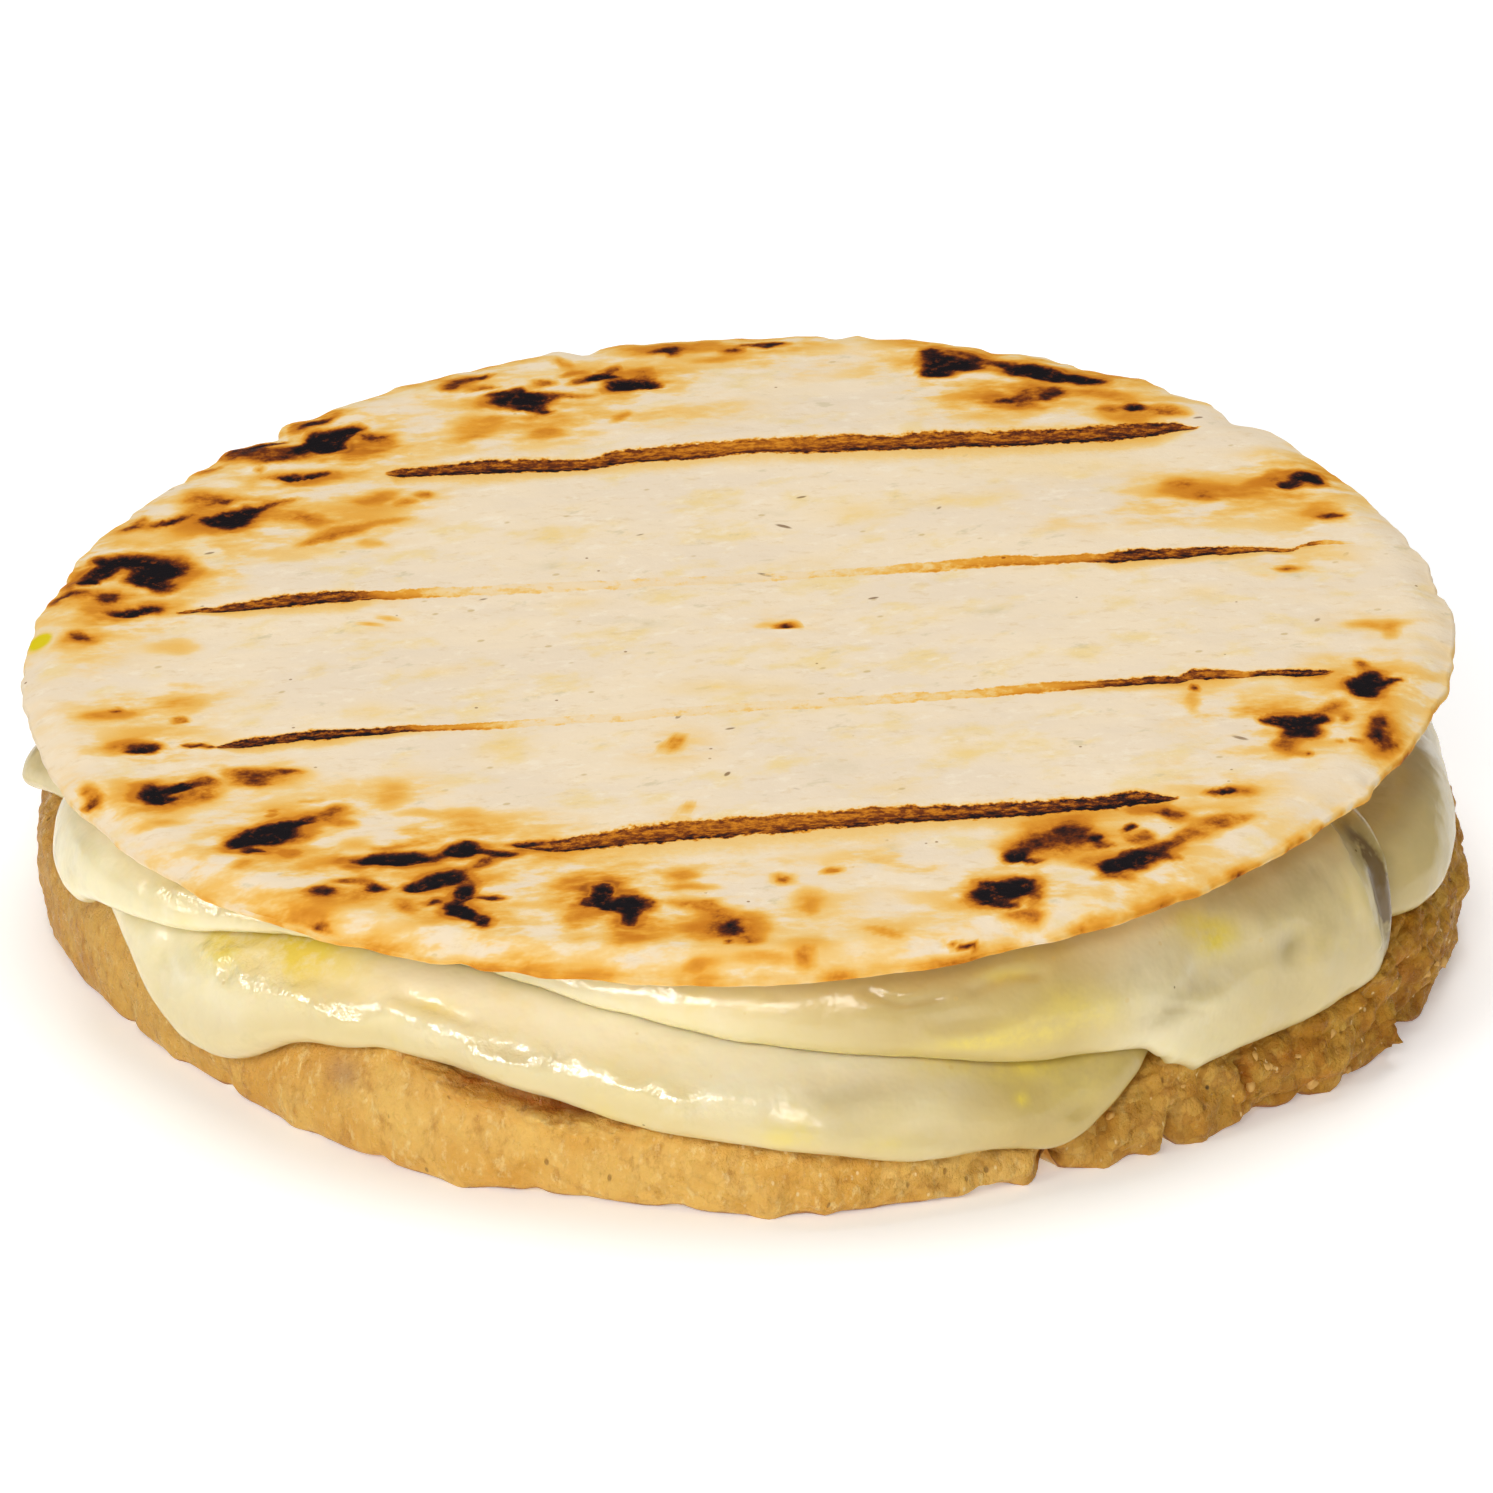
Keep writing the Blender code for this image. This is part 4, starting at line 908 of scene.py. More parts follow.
class Finish:
    """One material, built from nodes on the object's own coordinates and noted values."""

    def __init__(self, name):
        self.material = bpy.data.materials.new(name)
        self.material.use_nodes = True
        self.tree = self.material.node_tree
        self.shader = self.tree.nodes["Principled BSDF"]
        self.place = self.node("TexCoord", {}, (), "Object")

    def feed(self, socket, value):
        if isinstance(value, Signal):
            self.tree.links.new(value.socket, socket)
        else:
            socket.default_value = value

    def node(self, kind, settings, values, output=0):
        """Any node: its type, settings, sockets' values in order or by name, and output."""
        made = self.tree.nodes.new("ShaderNode" + kind)
        for name, setting in settings.items():
            if name == "stops":
                self.set_stops(made.color_ramp, setting)
            else:
                setattr(made, name, setting)
        pairs = values.items() if isinstance(values, dict) else enumerate(values)
        for socket, value in pairs:
            self.feed(made.inputs[socket], value)
        return Signal(self, made.outputs[output])

    def set_stops(self, ramp, stops):
        while len(ramp.elements) < len(stops):
            ramp.elements.new(0.5)
        for element, (position, colour) in zip(ramp.elements, stops):
            element.position = position
            element.color = colour

    def stretched(self, stretch, turn=0.0):
        """The coordinates stretched along each axis, after a turn about Z."""
        values = {"Vector": self.place, "Scale": stretch, "Rotation": (0, 0, turn)}
        return self.node("Mapping", {"vector_type": "TEXTURE"}, values)

    def cloud(self, size, detail=2.0, rough=0.5, at=None):
        """Soft random patches of about that size in millimetres, from 0 to 1."""
        values = {
            "Vector": at or self.place,
            "Scale": 1 / (size * MM),
            "Detail": detail,
            "Roughness": rough,
        }
        return self.node("TexNoise", {}, values)

    def cells(self, size, at=None, output="Distance"):
        """Distance to the middle of the nearest random cell of about that size, or its colour."""
        values = {"Vector": at or self.place, "Scale": 1 / (size * MM)}
        return self.node("TexVoronoi", {}, values, output)

    def chance(self, size, at=None):
        """A random number from 0 to 1 for each of those cells."""
        return self.node("SeparateColor", {}, (self.cells(size, at, "Color"),), 0)

    def noted(self, name):
        return self.node("Attribute", {"attribute_name": name}, (), "Fac")

    def between(self, value, low, high, start=0.0, end=1.0):
        settings = {"interpolation_type": "SMOOTHSTEP"}
        return self.node("MapRange", settings, (value, low, high, start, end))

    def mix(self, share, first, second, blend="MIX"):
        settings = {"data_type": "RGBA", "blend_type": blend}
        return self.node("Mix", settings, {0: share, 6: first, 7: second}, 2)

    def ramp(self, value, stops):
        return self.node("ValToRGB", {"stops": stops}, (value,))

    def bump(self, height, strength, distance):
        values = {"Strength": strength, "Distance": distance * MM, "Height": height}
        return self.node("Bump", {}, values, "Normal")

    def set(self, values):
        for name, value in values.items():
            self.feed(self.shader.inputs[name], value)

    def finished(self, colour, rough, normal):
        self.set({"Base Color": colour, "Roughness": rough, "Normal": normal})
        return self.material

    def soften(self, weight, reach, scale):
        """Lets light into the surface, that far for red, green and blue."""
        self.set({"Subsurface Weight": weight, "Subsurface Radius": reach})
        self.set({"Subsurface Scale": scale})

    def specks(self, size, radius, keep, at=None):
        """1 on small specks, of which only the given share is kept."""
        distance = self.cells(size, at)
        kept = self.between(self.chance(size, at), 1 - keep, 1.001 - keep)
        return self.between(distance, radius, radius * 0.5) * kept


# Colours of the crust as it gets hotter
TOAST_STOPS = (
    (0.00, tint(240, 217, 178)),
    (0.10, tint(241, 205, 136)),
    (0.20, tint(238, 186, 92)),
    (0.30, tint(230, 160, 52)),
    (0.42, tint(206, 126, 26)),
    (0.54, tint(166, 92, 16)),
    (0.66, tint(116, 52, 10)),
    (0.78, tint(64, 28, 16)),
    (0.90, tint(16, 10, 14)),
)


def crust(finish, plain):
    """(colour, roughness, height) of the grilled crust, over its plain colour."""
    fine = finish.cloud(0.55, 3.0, 0.6) - 0.5
    middle = finish.cloud(1.7, 3.0, 0.55) - 0.5
    marks = finish.noted("toast")
    edgy = finish.between(marks, 0.12, 0.5) * finish.between(marks, 1.0, 0.7, 0.4, 1.0)
    ragged = marks + (fine * 0.45 + middle * 0.7) * edgy
    streaks = finish.cloud(3.4, 4.0, 0.6, finish.stretched((1.9, 1.0, 1.0)))
    glow = finish.noted("glow") * finish.between(streaks, 0.36, 0.64, 0.15, 1.8)
    across = finish.noted("groove_across") + fine * 1.0 + middle * 0.35
    heat = finish.noted("groove_heat")
    strong = finish.between(heat, 0.3, 0.55)
    front = finish.between(across, 0.4, -0.9, 0.84, 1.16)
    grit = finish.cloud(0.5, 4.0, 0.75, finish.stretched((1.9, 1.0, 1.0)))
    mottle = 1 + (finish.between(grit, 0.34, 0.62) - 0.55) * 0.5 * strong + fine * 0.4 * strong
    broken = finish.between(finish.cloud(1.3, 4.0, 0.65) + heat * 0.9, 0.62, 0.86, 0.3, 1.0)
    edges = finish.between(abs(across), 0.5, 0.9, 0.0, 0.14)
    line = heat * (front + edges) * mottle * broken * finish.between(abs(across), 1.2, 0.88)
    scatter = finish.specks(0.9, 0.3, 0.35) * finish.between(heat, 0.24, 0.4)
    scatter = scatter * finish.between(abs(across), 1.6, 0.6)
    below = finish.between(across, 1.8, 0.6) * finish.between(across, -4.0, -0.9)
    halo = heat * (strong * 0.14 + 0.1) * below
    flecks = finish.between(finish.cloud(0.8, 4.0, 0.7), 0.5, 0.66, 0.0, 0.24)
    ragged = ragged - flecks * finish.between(marks, 0.7, 0.95)
    hot = ragged | line | scatter * 0.62
    hot = hot + (glow + halo) * finish.between(hot, 0.5, 0.05)
    colour = finish.mix(finish.between(hot, 0.0, 0.12), plain, finish.ramp(hot, TOAST_STOPS))
    height = finish.cloud(0.5, 4.0, 0.65) * 0.5 + finish.cloud(1.6, 3.0, 0.6)
    burnt = marks | heat * finish.between(abs(across), 1.2, 0.6)
    height = height + finish.between(burnt, 0.5, 0.9) * fine * 2.0
    return colour, finish.between(hot, 0.3, 0.85, 0.6, 0.55), height


def pale_dough(finish):
    wide = finish.stretched((2.0, 1.0, 1.0))
    tilted = finish.stretched((1.5, 1.0, 1.0), 0.3)
    soft = finish.cloud(8.0, 5.0, 0.6, wide)
    cream, ivory = tint(242, 223, 192), tint(237, 219, 192)
    colour = finish.mix(finish.between(soft, 0.38, 0.62), cream, ivory)
    corn = finish.cloud(3.6, 5.0, 0.6, tilted)
    colour = finish.mix(finish.between(corn, 0.5, 0.7, 0.0, 0.8), colour, tint(239, 212, 146))
    pale = finish.cloud(1.3, 4.0, 0.65, tilted)
    colour = finish.mix(finish.between(pale, 0.54, 0.72, 0.0, 0.6), colour, tint(247, 234, 210))
    grain = finish.cloud(0.9, 4.0, 0.7, wide)
    colour = finish.mix(finish.between(grain, 0.54, 0.72, 0.0, 0.45), colour, tint(222, 194, 146))
    clear = finish.cloud(2.2, 4.0, 0.65, tilted)
    thin = finish.noted("clear") * finish.between(clear, 0.4, 0.6)
    clear = finish.between(clear, 0.62, 0.74, 0.0, 0.5) + thin
    colour = finish.mix(clear & 1.0, colour, tint(204, 190, 150))
    yellow = finish.noted("corn")
    tinged = yellow * finish.between(corn, 0.3, 0.6, 0.5, 1.0)
    colour = finish.mix(tinged & 1.0, colour, tint(242, 206, 120))
    colour = finish.mix(finish.between(yellow, 1.0, 2.0), colour, tint(224, 202, 20))
    for size, stretch, turn in ((4.6, 2.6, 0.35), (6.2, 3.2, -0.5), (5.4, 2.0, 1.1)):
        dashes = finish.specks(size, 0.046, 0.9, finish.stretched((stretch, 1.0, 1.0), turn))
        colour = finish.mix(dashes * 0.8, colour, tint(122, 88, 50))
    husks = finish.specks(2.4, 0.11, 0.5, tilted)
    colour = finish.mix(husks * 0.6, colour, tint(200, 172, 108))
    dots = finish.specks(2.9, 0.06, 0.5)
    return finish.mix(dots * 0.8, colour, tint(140, 98, 50))


def grilled_crust():
    finish = Finish("grilled_crust")
    colour, rough, height = crust(finish, pale_dough(finish))
    finish.set({"Specular IOR Level": 0.07})
    return finish.finished(colour, rough, finish.bump(height, 0.3, 0.25))


def corn_crumb():
    finish = Finish("corn_crumb")
    upright = finish.stretched((1.0, 1.0, 1.8))
    soft = finish.cloud(7.0, 4.0, 0.6)
    colour = finish.mix(finish.between(soft, 0.36, 0.64), tint(240, 194, 100), tint(228, 172, 74))
    grain = finish.cloud(1.3, 5.0, 0.7, upright)
    colour = finish.mix(finish.between(grain, 0.5, 0.7, 0.0, 0.75), colour, tint(200, 142, 56))
    pale = finish.cloud(0.8, 4.0, 0.65, upright)
    colour = finish.mix(finish.between(pale, 0.54, 0.7, 0.0, 0.7), colour, tint(250, 220, 146))
    grit = finish.stretched((1.0, 1.0, 1.25))
    values = {"Vector": finish.place, "Scale": 1 / (CRUMB_SIZE * MM), "Detail": 3.0}
    wander = finish.node("TexNoise", {}, values, "Color")
    reach = (CRUMB_WANDER, CRUMB_WANDER, CRUMB_WANDER)
    grit = finish.node("VectorMath", {"operation": "MULTIPLY_ADD"}, (wander, reach, grit))
    crumbs = finish.cells(CRUMB_SIZE, grit)
    crumbly = finish.noted("crumbly")
    tone = finish.chance(CRUMB_SIZE, grit)
    for end, shade in ((1.0, tint(186, 126, 44)), (0.0, tint(250, 216, 136))):
        colour = finish.mix(finish.between(tone, 0.4, end) * crumbly * 0.6 & 1.0, colour, shade)
    # Painted shade in the cracks between the crumbs
    crack_shade = finish.between(crumbs + (grain - 0.5) * 0.5, 0.5, 0.8) * crumbly
    colour = finish.mix(crack_shade * 0.55, colour, tint(150, 92, 26))
    pores = finish.specks(1.5, 0.14, 0.35, upright)
    colour = finish.mix(pores * 0.6, colour, tint(140, 92, 38))
    dots = finish.specks(5.0, 0.05, 0.4)
    colour = finish.mix(dots * 0.85, colour, tint(80, 58, 40))
    colour = finish.mix(finish.noted("smudge") & 1.0, colour, tint(176, 134, 96))
    # Darker damp crumb, partly painted shade on the right, away from the lamps
    damp = finish.noted("damp") * finish.between(soft, 0.3, 0.65, 0.8, 1.0)
    colour = finish.mix(damp, colour, tint(206, 184, 100), "MULTIPLY")
    # Painted glints, small pale specks on the moist crumb
    glints = finish.specks(0.9, 0.17, 0.6, upright) * finish.between(crumbly, 0.1, 0.35)
    colour = finish.mix(glints * 0.8, colour, tint(250, 222, 160))
    # Painted shade, warm brown, in the gaps under the ledges and in hollows
    gap = finish.noted("gap") * finish.between(grain, 0.3, 0.6, 0.6, 1.1)
    colour = finish.mix(gap & 0.95, colour, tint(190, 112, 26))
    baked, _, _ = crust(finish, pale_dough(finish))
    under = finish.noted("under")
    ragged = finish.between(under + (finish.cloud(1.2, 4.0, 0.7) - 0.5) * 0.5, 0.35, 0.65)
    foot = finish.noted("foot") + (finish.cloud(1.6, 4.0, 0.65) - 0.5) * 1.2
    colour = finish.mix(finish.between(foot, 0.5, 0.9, 0.0, 0.8), colour, tint(164, 104, 58))
    colour = finish.mix(ragged, colour, baked)
    wet = finish.between(finish.cloud(0.8, 4.0, 0.65), 0.5, 0.66, 0.55, 0.12)
    height = finish.cloud(0.5, 4.0, 0.7) * 0.8 + finish.cloud(1.3, 4.0, 0.7, upright) * 1.3
    height = height - pores * 0.4 - crumbs * (crumbly * 1.3)
    finish.set({"Specular IOR Level": 0.2})
    finish.soften(0.15, (1.0, 0.6, 0.3), 1.5 * MM)
    return finish.finished(colour, wet | (ragged * 0.55), finish.bump(height, 0.75, 0.5))


def melted_cheese():
    finish = Finish("melted_cheese")
    soft = finish.cloud(13.0, 4.0, 0.55)
    milk, butter = tint(246, 234, 194), tint(241, 226, 174)
    colour = finish.mix(finish.between(soft, 0.36, 0.64), milk, butter)
    milky = finish.cloud(4.0, 4.0, 0.6)
    colour = finish.mix(finish.between(milky, 0.52, 0.72, 0.0, 0.5), colour, tint(250, 241, 212))
    # Painted shade: a darker creamy yellow where the face turns from the lamps, and low on its
    # front
    colour = finish.mix(finish.noted("shade") & 1.0, colour, tint(204, 180, 112))
    # Painted light: a paler milky white high on the front face, under the overhang
    colour = finish.mix(finish.noted("pale") & 1.0, colour, tint(252, 245, 224))
    oil = finish.noted("oil") * finish.between(finish.cloud(2.0, 4.0, 0.65), 0.3, 0.62, 0.45, 1.2)
    oil = oil + finish.between(finish.cloud(6.0, 4.0, 0.6), 0.55, 0.75, 0.0, 0.2)
    colour = finish.mix(oil & 1.0, colour, tint(240, 218, 96))
    # Grey translucent patches and streaks, partly painted shade, darkest in the fold on the right
    grey = finish.noted("grey") * finish.between(finish.cloud(2.2, 3.0, 0.6), 0.25, 0.6, 0.5, 1.1)
    streaks = finish.cloud(5.0, 4.0, 0.6, finish.stretched((1.6, 1.0, 1.0)))
    grey = grey + finish.between(streaks, 0.58, 0.75, 0.0, 0.25)
    colour = finish.mix(grey & 1.0, colour, tint(176, 157, 100))
    colour = finish.mix(finish.between(grey, 1.0, 1.7), colour, tint(118, 94, 52))
    curds = finish.specks(2.6, 0.1, 0.4)
    colour = finish.mix(curds * 0.35, colour, tint(222, 190, 110))
    specks = finish.specks(3.6, 0.045, 0.3)
    colour = finish.mix(specks * 0.8, colour, tint(120, 92, 48))
    rough = finish.between(finish.cloud(4.0, 2.0, 0.5), 0.34, 0.62, 0.2, 0.26)
    height = finish.cloud(1.6, 2.0, 0.45) * 0.7 + finish.cloud(4.0, 1.0, 0.4) * 2.0
    bubbles = finish.cloud(1.5, 1.0, 0.4) * 2.4 + finish.cloud(0.6, 2.0, 0.5) * 0.9
    height = height + bubbles * finish.noted("blister")
    finish.set({"Specular IOR Level": 0.6})
    finish.soften(0.35, (1.0, 0.8, 0.4), 4.0 * MM)
    return finish.finished(colour, rough, finish.bump(height, 0.6, 0.28))


# The five pieces


def make_lower_half():
    piece = round_piece("torn_lower_half", BASE_SIDES, BASE_RINGS, BASE_PLACES, base_section)
    spots = spots_of(piece.data)
    angle, height = unrolled(spots)
    radius = out_mm(spots)
    side = smooth_step(0.0, 1.2, height) * smooth_step(*TORN_FROM, radius)
    crumbly = np.interp(angle % 360, *CRUMBLY)
    torn = lumps(spots, 6.0 * MM, 2, 1.7) * 0.5 * (0.5 + crumbly)
    torn += lumps(spots, 2.0 * MM, 4, 4.2, (1, 1, 1.4)) * crumbly * 0.9
    torn += (grains(spots, 2.6 * MM, 6.1) - 0.6) * crumbly * 0.55
    torn += (grains(spots, 1.3 * MM, 3.1) - 0.6) * crumbly * 0.75
    torn += folds(spots, BASE_FOLDS) * (1 + lumps(spots, 1.1 * MM, 3, 5.8) * 1.8)
    torn += patches(spots, BASE_DENTS)
    foot = lumps(spots * (1, 1, 0.3), 6.0 * MM, 4, 2.2) * (0.15 + 0.5 * crumbly)
    foot = smooth_step(1.5, 0.2, height) * foot
    foot += nicks(angle, radius, FOOT_NICKS) * smooth_step(5.0, 1.5, height)
    swell(piece, side * torn + foot * smooth_step(*NICKED_FROM, radius))
    note(piece, "crumbly", crumbly * side)
    # painted shade in the gaps under the ledges
    note(piece, "gap", patches(spots, BASE_GAP_SHADE))
    # darker damp crumb, partly painted shade on the right
    note(piece, "damp", np.interp(angle % 360, *DAMP_AND_PAINTED_SHADE))
    spots = spots_of(piece.data)
    spots[:, 2] = np.maximum(spots[:, 2], 0)
    radius = out_mm(spots)
    beneath = height < UNDER_LEVEL
    note(piece, "under", beneath * smooth_step(53.0, 51.0, radius))
    note(piece, "foot", smooth_step(0.8, 0.05, height))
    across, heat = grooves(spots, UNDER_LINES, 0.2)
    heats, warmth = toast(spots, under_marks(), 0.7)
    note(piece, "toast", heats * beneath)
    note(piece, "groove_across", across)
    note(piece, "groove_heat", heat * beneath)
    note(piece, "glow", (warmth * 0.2 + smooth_step(*GOLDEN_BAND, radius) * 0.1) * beneath)
    note(piece, "smudge", patches(spots, SMUDGES))
    groove = np.exp(-np.clip(across, -3, 3) ** 2) * smooth_step(0.3, 0.7, heat)
    spots[:, 2] += groove * UNDER_GROOVE_DEPTH * beneath
    reshape(piece, spots)
    piece.data.materials.append(corn_crumb())
    settle(piece, "lower_half")


def under_marks():
    """Toast marks under the lower half, in the same columns as TOP_MARKS."""
    rng = np.random.default_rng(4)
    turns = rng.uniform(0, 2 * math.pi, UNDER_MARK_COUNT)
    outs = rng.uniform(*MARKED_BAND, UNDER_MARK_COUNT)
    marks = []
    for turn, out in zip(turns, outs):
        sizes = rng.uniform(1, 3), rng.uniform(0.8, 2), rng.uniform(-40, 40)
        heat = rng.choice((0.4, 0.6, 1.0))
        marks.append((out * math.cos(turn), out * math.sin(turn), *sizes, heat))
    return marks


def make_cheese(name, node, shape, marks, material, shift):
    """A slab: shape holds its outline, top and ground; marks the tables of its skin.

    shift moves its random lumps, so that the two slabs differ.
    """
    outline, top_of, ground_of = shape
    dents, creases, blisters, oil, grey, shade, painted_light_and_shade = marks

    def section(angle, place):
        return slab_section(angle, place, outline(angle), top_of, ground_of)

    piece = round_piece(name, SLAB_SIDES, SLAB_RINGS, SLAB_PLACES, section)
    spots = spots_of(piece.data)
    angle, radius = np.arctan2(spots[:, 1], spots[:, 0]), np.hypot(spots[:, 0], spots[:, 1])
    start, _, lip_reach = outline(angle)
    lift = (spots[:, 2] - ground_of(radius, angle)) / MM
    lip = smooth_step(*OPEN_BAND, radius / MM) * (radius > lip_reach - 0.5 * MM)
    lip = lip * np.exp(-(np.maximum(lift, 0) / LIP_HEIGHT) ** 2)
    sag = lumps(spots, 9.0 * MM, 1, shift) * 0.3 + lumps(spots, 3.2 * MM, 2, shift + 5) * 0.1
    blister = patches(spots, blisters)
    bubbles = lumps(spots, 1.6 * MM, 1, shift + 9) * 0.45 * blister
    swell(piece, sag + bubbles + patches(spots, dents) + folds(spots, creases))
    note(piece, "blister", blister)
    note(piece, "oil", patches(spots, oil) + lip * 0.5)
    # Grey patches, partly painted shade in folds and on the right
    note(piece, "grey", patches(spots, grey))
    lip_height = ground_of(lip_reach, angle)
    level = (spots[:, 2] - lip_height) / (top_of(start, angle) - lip_height)
    degrees = np.degrees(angle) % 360
    front = np.interp(degrees, *painted_light_and_shade)
    # Painted shade by angle, where the face turns from the lamps, and low on the front face
    note(piece, "shade", np.interp(degrees, *shade) + front * 0.5 * smooth_step(0.6, 0.2, level))
    # Painted light, paler, high on the front face
    note(piece, "pale", front * 0.75 * smooth_step(0.5, 0.95, level))
    piece.data.materials.append(material)
    settle(piece, node)


def flat_patches(spots, table):
    """The table's soft patches added up: right, back, half length, half width, strength."""
    x, y = spots[:, 0] / MM, spots[:, 1] / MM
    return sum(
        strength * np.exp(-(((x - right) / long) ** 2) - ((y - back) / wide) ** 2)
        for right, back, long, wide, strength in table
    )


def make_upper_half():
    piece = round_piece("grilled_upper_half", LID_SIDES, LID_RINGS, LID_PLACES, lid_section)
    spots = spots_of(piece.data)
    angle, height = unrolled(spots)
    radius = out_mm(spots)
    top = height > 0
    across, heat = grooves(spots, TOP_LINES, 0.25)
    marks, warmth = toast(spots, TOP_MARKS, 0.5)
    browned = np.interp(angle, *RIM_UNDERSIDE) * smooth_step(52.5, 53.6, radius)
    browned *= smooth_step(0.1, -0.6, height)
    browned *= 0.7 + lumps(spots, 2.4 * MM, 3, 4.4) * 1.2
    heat, marks = heat * top, np.maximum(marks * (height > -0.3), browned)
    note(piece, "toast", marks)
    note(piece, "groove_across", across)
    note(piece, "groove_heat", heat)
    rim = smooth_step(*GOLDEN_BAND, radius) * 0.012 + smooth_step(*RIM_BAND, radius) * 0.08
    glow = warmth * 0.19 + np.interp(angle, *RIM_GLOW) * rim
    glow += flat_patches(spots, TOP_WARM) * 0.1
    corn = flat_patches(spots, TOP_CORN) * top
    note(piece, "glow", glow * (height > -0.8) * (1 - np.clip(corn, 0, 1)))
    note(piece, "corn", corn)
    note(piece, "clear", flat_patches(spots, TOP_CLEAR) * top)
    relief = lumps(spots, 18 * MM, 1, 7.7) * 0.22 + lumps(spots, 3.2 * MM, 3, 2.5) * 0.08
    relief -= np.exp(-(across**2)) * smooth_step(0.3, 0.7, heat) * 0.18
    relief -= smooth_step(0.6, 1.0, marks) * 0.12
    swell(piece, relief)
    spots = spots_of(piece.data)
    bumps = lumps(spots * (1, 1, 0.2), 4.0 * MM, 3, 9.4) * 0.4
    bumps += nicks(angle, radius, RIM_NICKS)
    bumps *= smooth_step(*BUMPY_BAND, radius)
    spots[:, :2] *= (1 + bumps / LID_REACH)[:, None]
    piece.data.vertices.foreach_set("co", spots.ravel())
    back = Matrix.Rotation(math.radians(LID_BACK_RISE), 4, "X")
    right = Matrix.Rotation(-math.radians(LID_RIGHT_RISE), 4, "Y")
    piece.data.transform(Matrix.Translation(LID_MIDDLE) @ right @ back)
    piece.data.update()
    piece.data.materials.append(grilled_crust())
    settle(piece, "upper_half")


def make_crumbs():
    """Loose corn crumbs lying on the torn edge, all in one piece."""
    rng = np.random.default_rng(11)
    crumbs = bmesh.new()
    for angle, height, count, spread in CRUMB_SPOTS:
        for _ in range(count):
            turn = math.radians(angle + rng.normal() * spread / MM_PER_DEGREE)
            level = height + rng.normal() * min(spread, 1.2)
            level = min(max(level, CRUMB_LEVELS[0]), CRUMB_LEVELS[1]) * MM
            start, reach, edge, wall = (value[0] for value in base_edge(np.array([turn])))
            lean = math.sqrt(max(1 - max(level - wall, 0) ** 2 / (edge - wall) ** 2, 0))
            out = start + (reach - start) * lean
            size = rng.uniform(*CRUMB_SIZES) * MM
            out -= size * CRUMB_SUNK
            spot = Vector((out * math.cos(turn), out * math.sin(turn), level))
            grow = Matrix.Diagonal((*(size * rng.uniform(0.7, 1.3, 3)), 1.0))
            twist = Matrix.Rotation(rng.uniform(0, 6.28), 4, Vector(rng.normal(size=3)))
            made = bmesh.ops.create_icosphere(crumbs, subdivisions=2, radius=1)["verts"]
            for vertex in made:
                vertex.co *= 1 + 0.45 * noise.noise(vertex.co * 1.3 + spot * 3000)
            matrix = Matrix.Translation(spot) @ twist @ grow
            bmesh.ops.transform(crumbs, matrix=matrix, verts=made)
    mesh = finished_mesh("loose_crumbs", crumbs)
    mesh.shade_smooth()
    piece = add("loose_crumbs", mesh)
    note(piece, "crumbly", np.full(len(mesh.vertices), 0.4))
    # darker damp crumb, partly painted shade
    note(piece, "damp", np.full(len(mesh.vertices), 0.6))
    mesh.materials.append(bpy.data.materials["corn_crumb"])
    settle(piece, None)


make_lower_half()
cheese = melted_cheese()
make_cheese(
    "lower_cheese_slab", "lower_cheese", (lower_outline, lower_plateau, lower_ground),
    (LOWER_DENTS, LOWER_FOLDS, LOWER_BLISTERS, LOWER_OIL, LOWER_GREY_AND_SHADE, LOWER_PAINTED_SHADE, LOWER_PAINTED_LIGHT_AND_SHADE),
    cheese, 2.0,
)
make_cheese(
    "upper_cheese_slab", "upper_cheese", (upper_outline, lid_underside, upper_ground),
    (UPPER_DENTS, UPPER_FOLDS, UPPER_BLISTERS, UPPER_OIL, UPPER_GREY_AND_SHADE, UPPER_PAINTED_SHADE, UPPER_PAINTED_LIGHT_AND_SHADE),
    cheese, 6.0,
)
make_upper_half()
make_crumbs()


# Stage

FLOOR_SIZE = 8.0
VIEW_RISE = 25.0  # degrees above the floor
VIEW_DISTANCE = 1.6
VIEW_WIDTH = 0.11538
VIEW_AIM = Vector((-0.00027, 0.0, 0.01403))
SENSOR_WIDTH = 36.0  # millimetres
CLIP_END = 20.0
PURE_WHITE, WARM_WHITE = (1.0, 1.0, 1.0), (1.0, 0.97, 0.93)
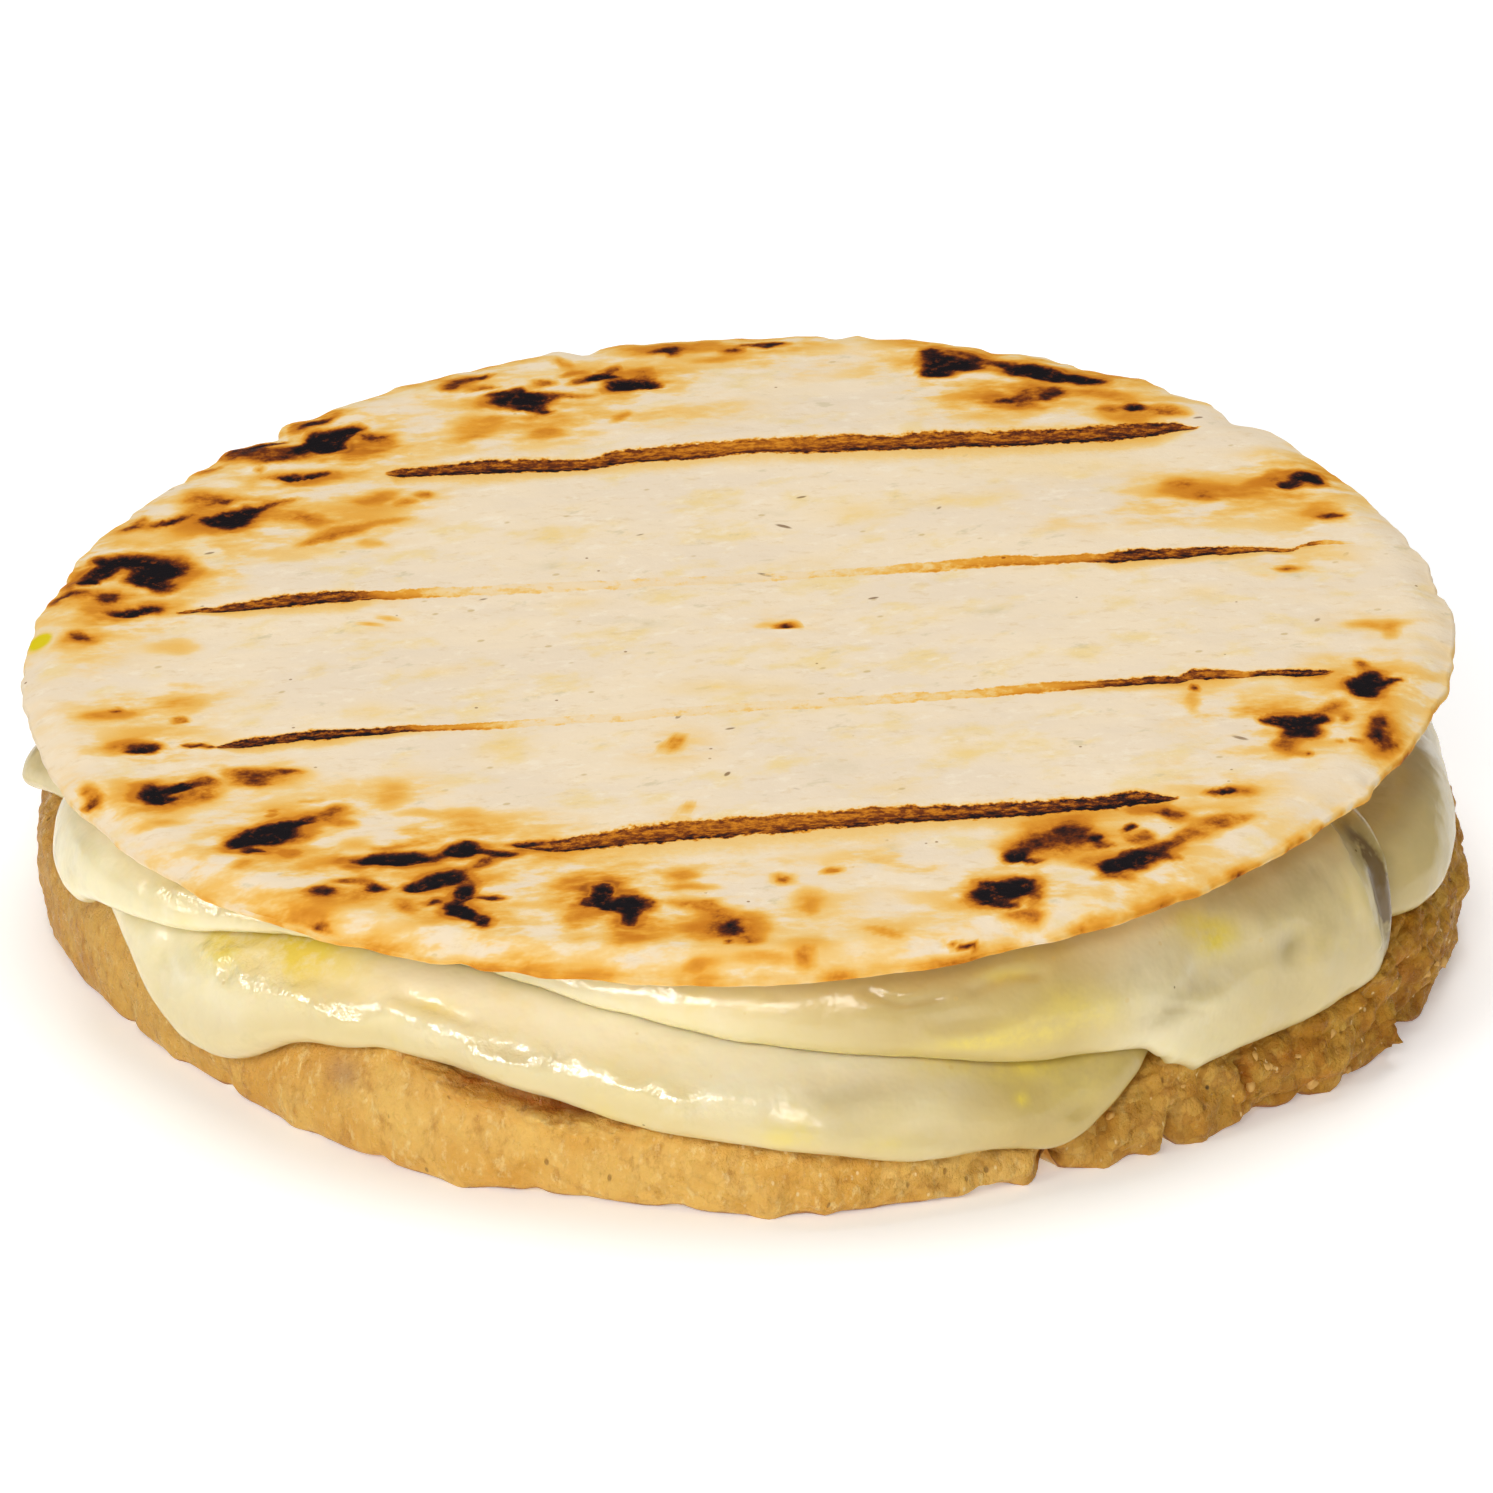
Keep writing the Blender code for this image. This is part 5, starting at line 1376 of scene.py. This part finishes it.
# Lights: name, place, width, watts, colour, whether only their glints show
LIGHTS = (
    ("key", (-0.64, -0.72, 0.52), 0.4, 2.8, WARM_WHITE, False),
    ("front", (-0.1, -0.92, 0.66), 0.36, 3.4, WARM_WHITE, False),
    ("shine", (-0.62, -0.74, 0.54), 0.5, 12.0, PURE_WHITE, True),
    ("side_shine", (-1.0, -0.3, 0.5), 0.4, 5.5, PURE_WHITE, True),
    ("overhead", (0.0, 0.25, 1.1), 0.8, 7.6, PURE_WHITE, False),
    ("fill", (0.8, -0.7, 0.4), 0.8, 0.6, PURE_WHITE, False),
)
FLOOR_SHADE, FLOOR_GLOW = 0.93, 0.27
SKY_STRENGTH = 0.16


def make_floor():
    sheet = bmesh.new()
    bmesh.ops.create_grid(sheet, x_segments=1, y_segments=1, size=FLOOR_SIZE / 2)
    mesh = finished_mesh("studio_floor", sheet)
    floor = add("studio_floor", mesh)
    finish = Finish("studio_floor")
    finish.set(
        {
            "Base Color": (FLOOR_SHADE, FLOOR_SHADE, FLOOR_SHADE, 1.0),
            "Roughness": 0.9,
            "Specular IOR Level": 0.1,
            "Emission Color": (*PURE_WHITE, 1.0),
            "Emission Strength": FLOOR_GLOW,
        }
    )
    mesh.materials.append(finish.material)


def make_light(name, spot, width, watts, colour, glints_only):
    lamp = bpy.data.lights.new(name, "AREA")
    lamp.shape = "DISK"
    lamp.size = width
    lamp.energy = watts
    lamp.color = colour
    box = add(name, lamp)
    box.location = spot
    box.rotation_euler = (VIEW_AIM - box.location).to_track_quat("-Z", "Y").to_euler()
    box.visible_diffuse = not glints_only


def make_camera():
    lens = bpy.data.cameras.new("view")
    lens.sensor_width = SENSOR_WIDTH
    lens.lens = lens.sensor_width * VIEW_DISTANCE / VIEW_WIDTH
    lens.clip_end = CLIP_END
    view = add("view", lens)
    rise = math.radians(VIEW_RISE)
    view.location = VIEW_AIM + VIEW_DISTANCE * Vector((0.0, -math.cos(rise), math.sin(rise)))
    view.rotation_euler = (math.pi / 2 - rise, 0.0, 0.0)
    bpy.context.scene.camera = view


make_floor()
for light in LIGHTS:
    make_light(*light)
make_camera()

sky = bpy.data.worlds.new("studio")
bpy.context.scene.world = sky
sky.use_nodes = True
backdrop = sky.node_tree.nodes["Background"]
backdrop.inputs["Color"].default_value = (*PURE_WHITE, 1.0)
backdrop.inputs["Strength"].default_value = SKY_STRENGTH
bpy.context.scene.view_settings.view_transform = "Standard"
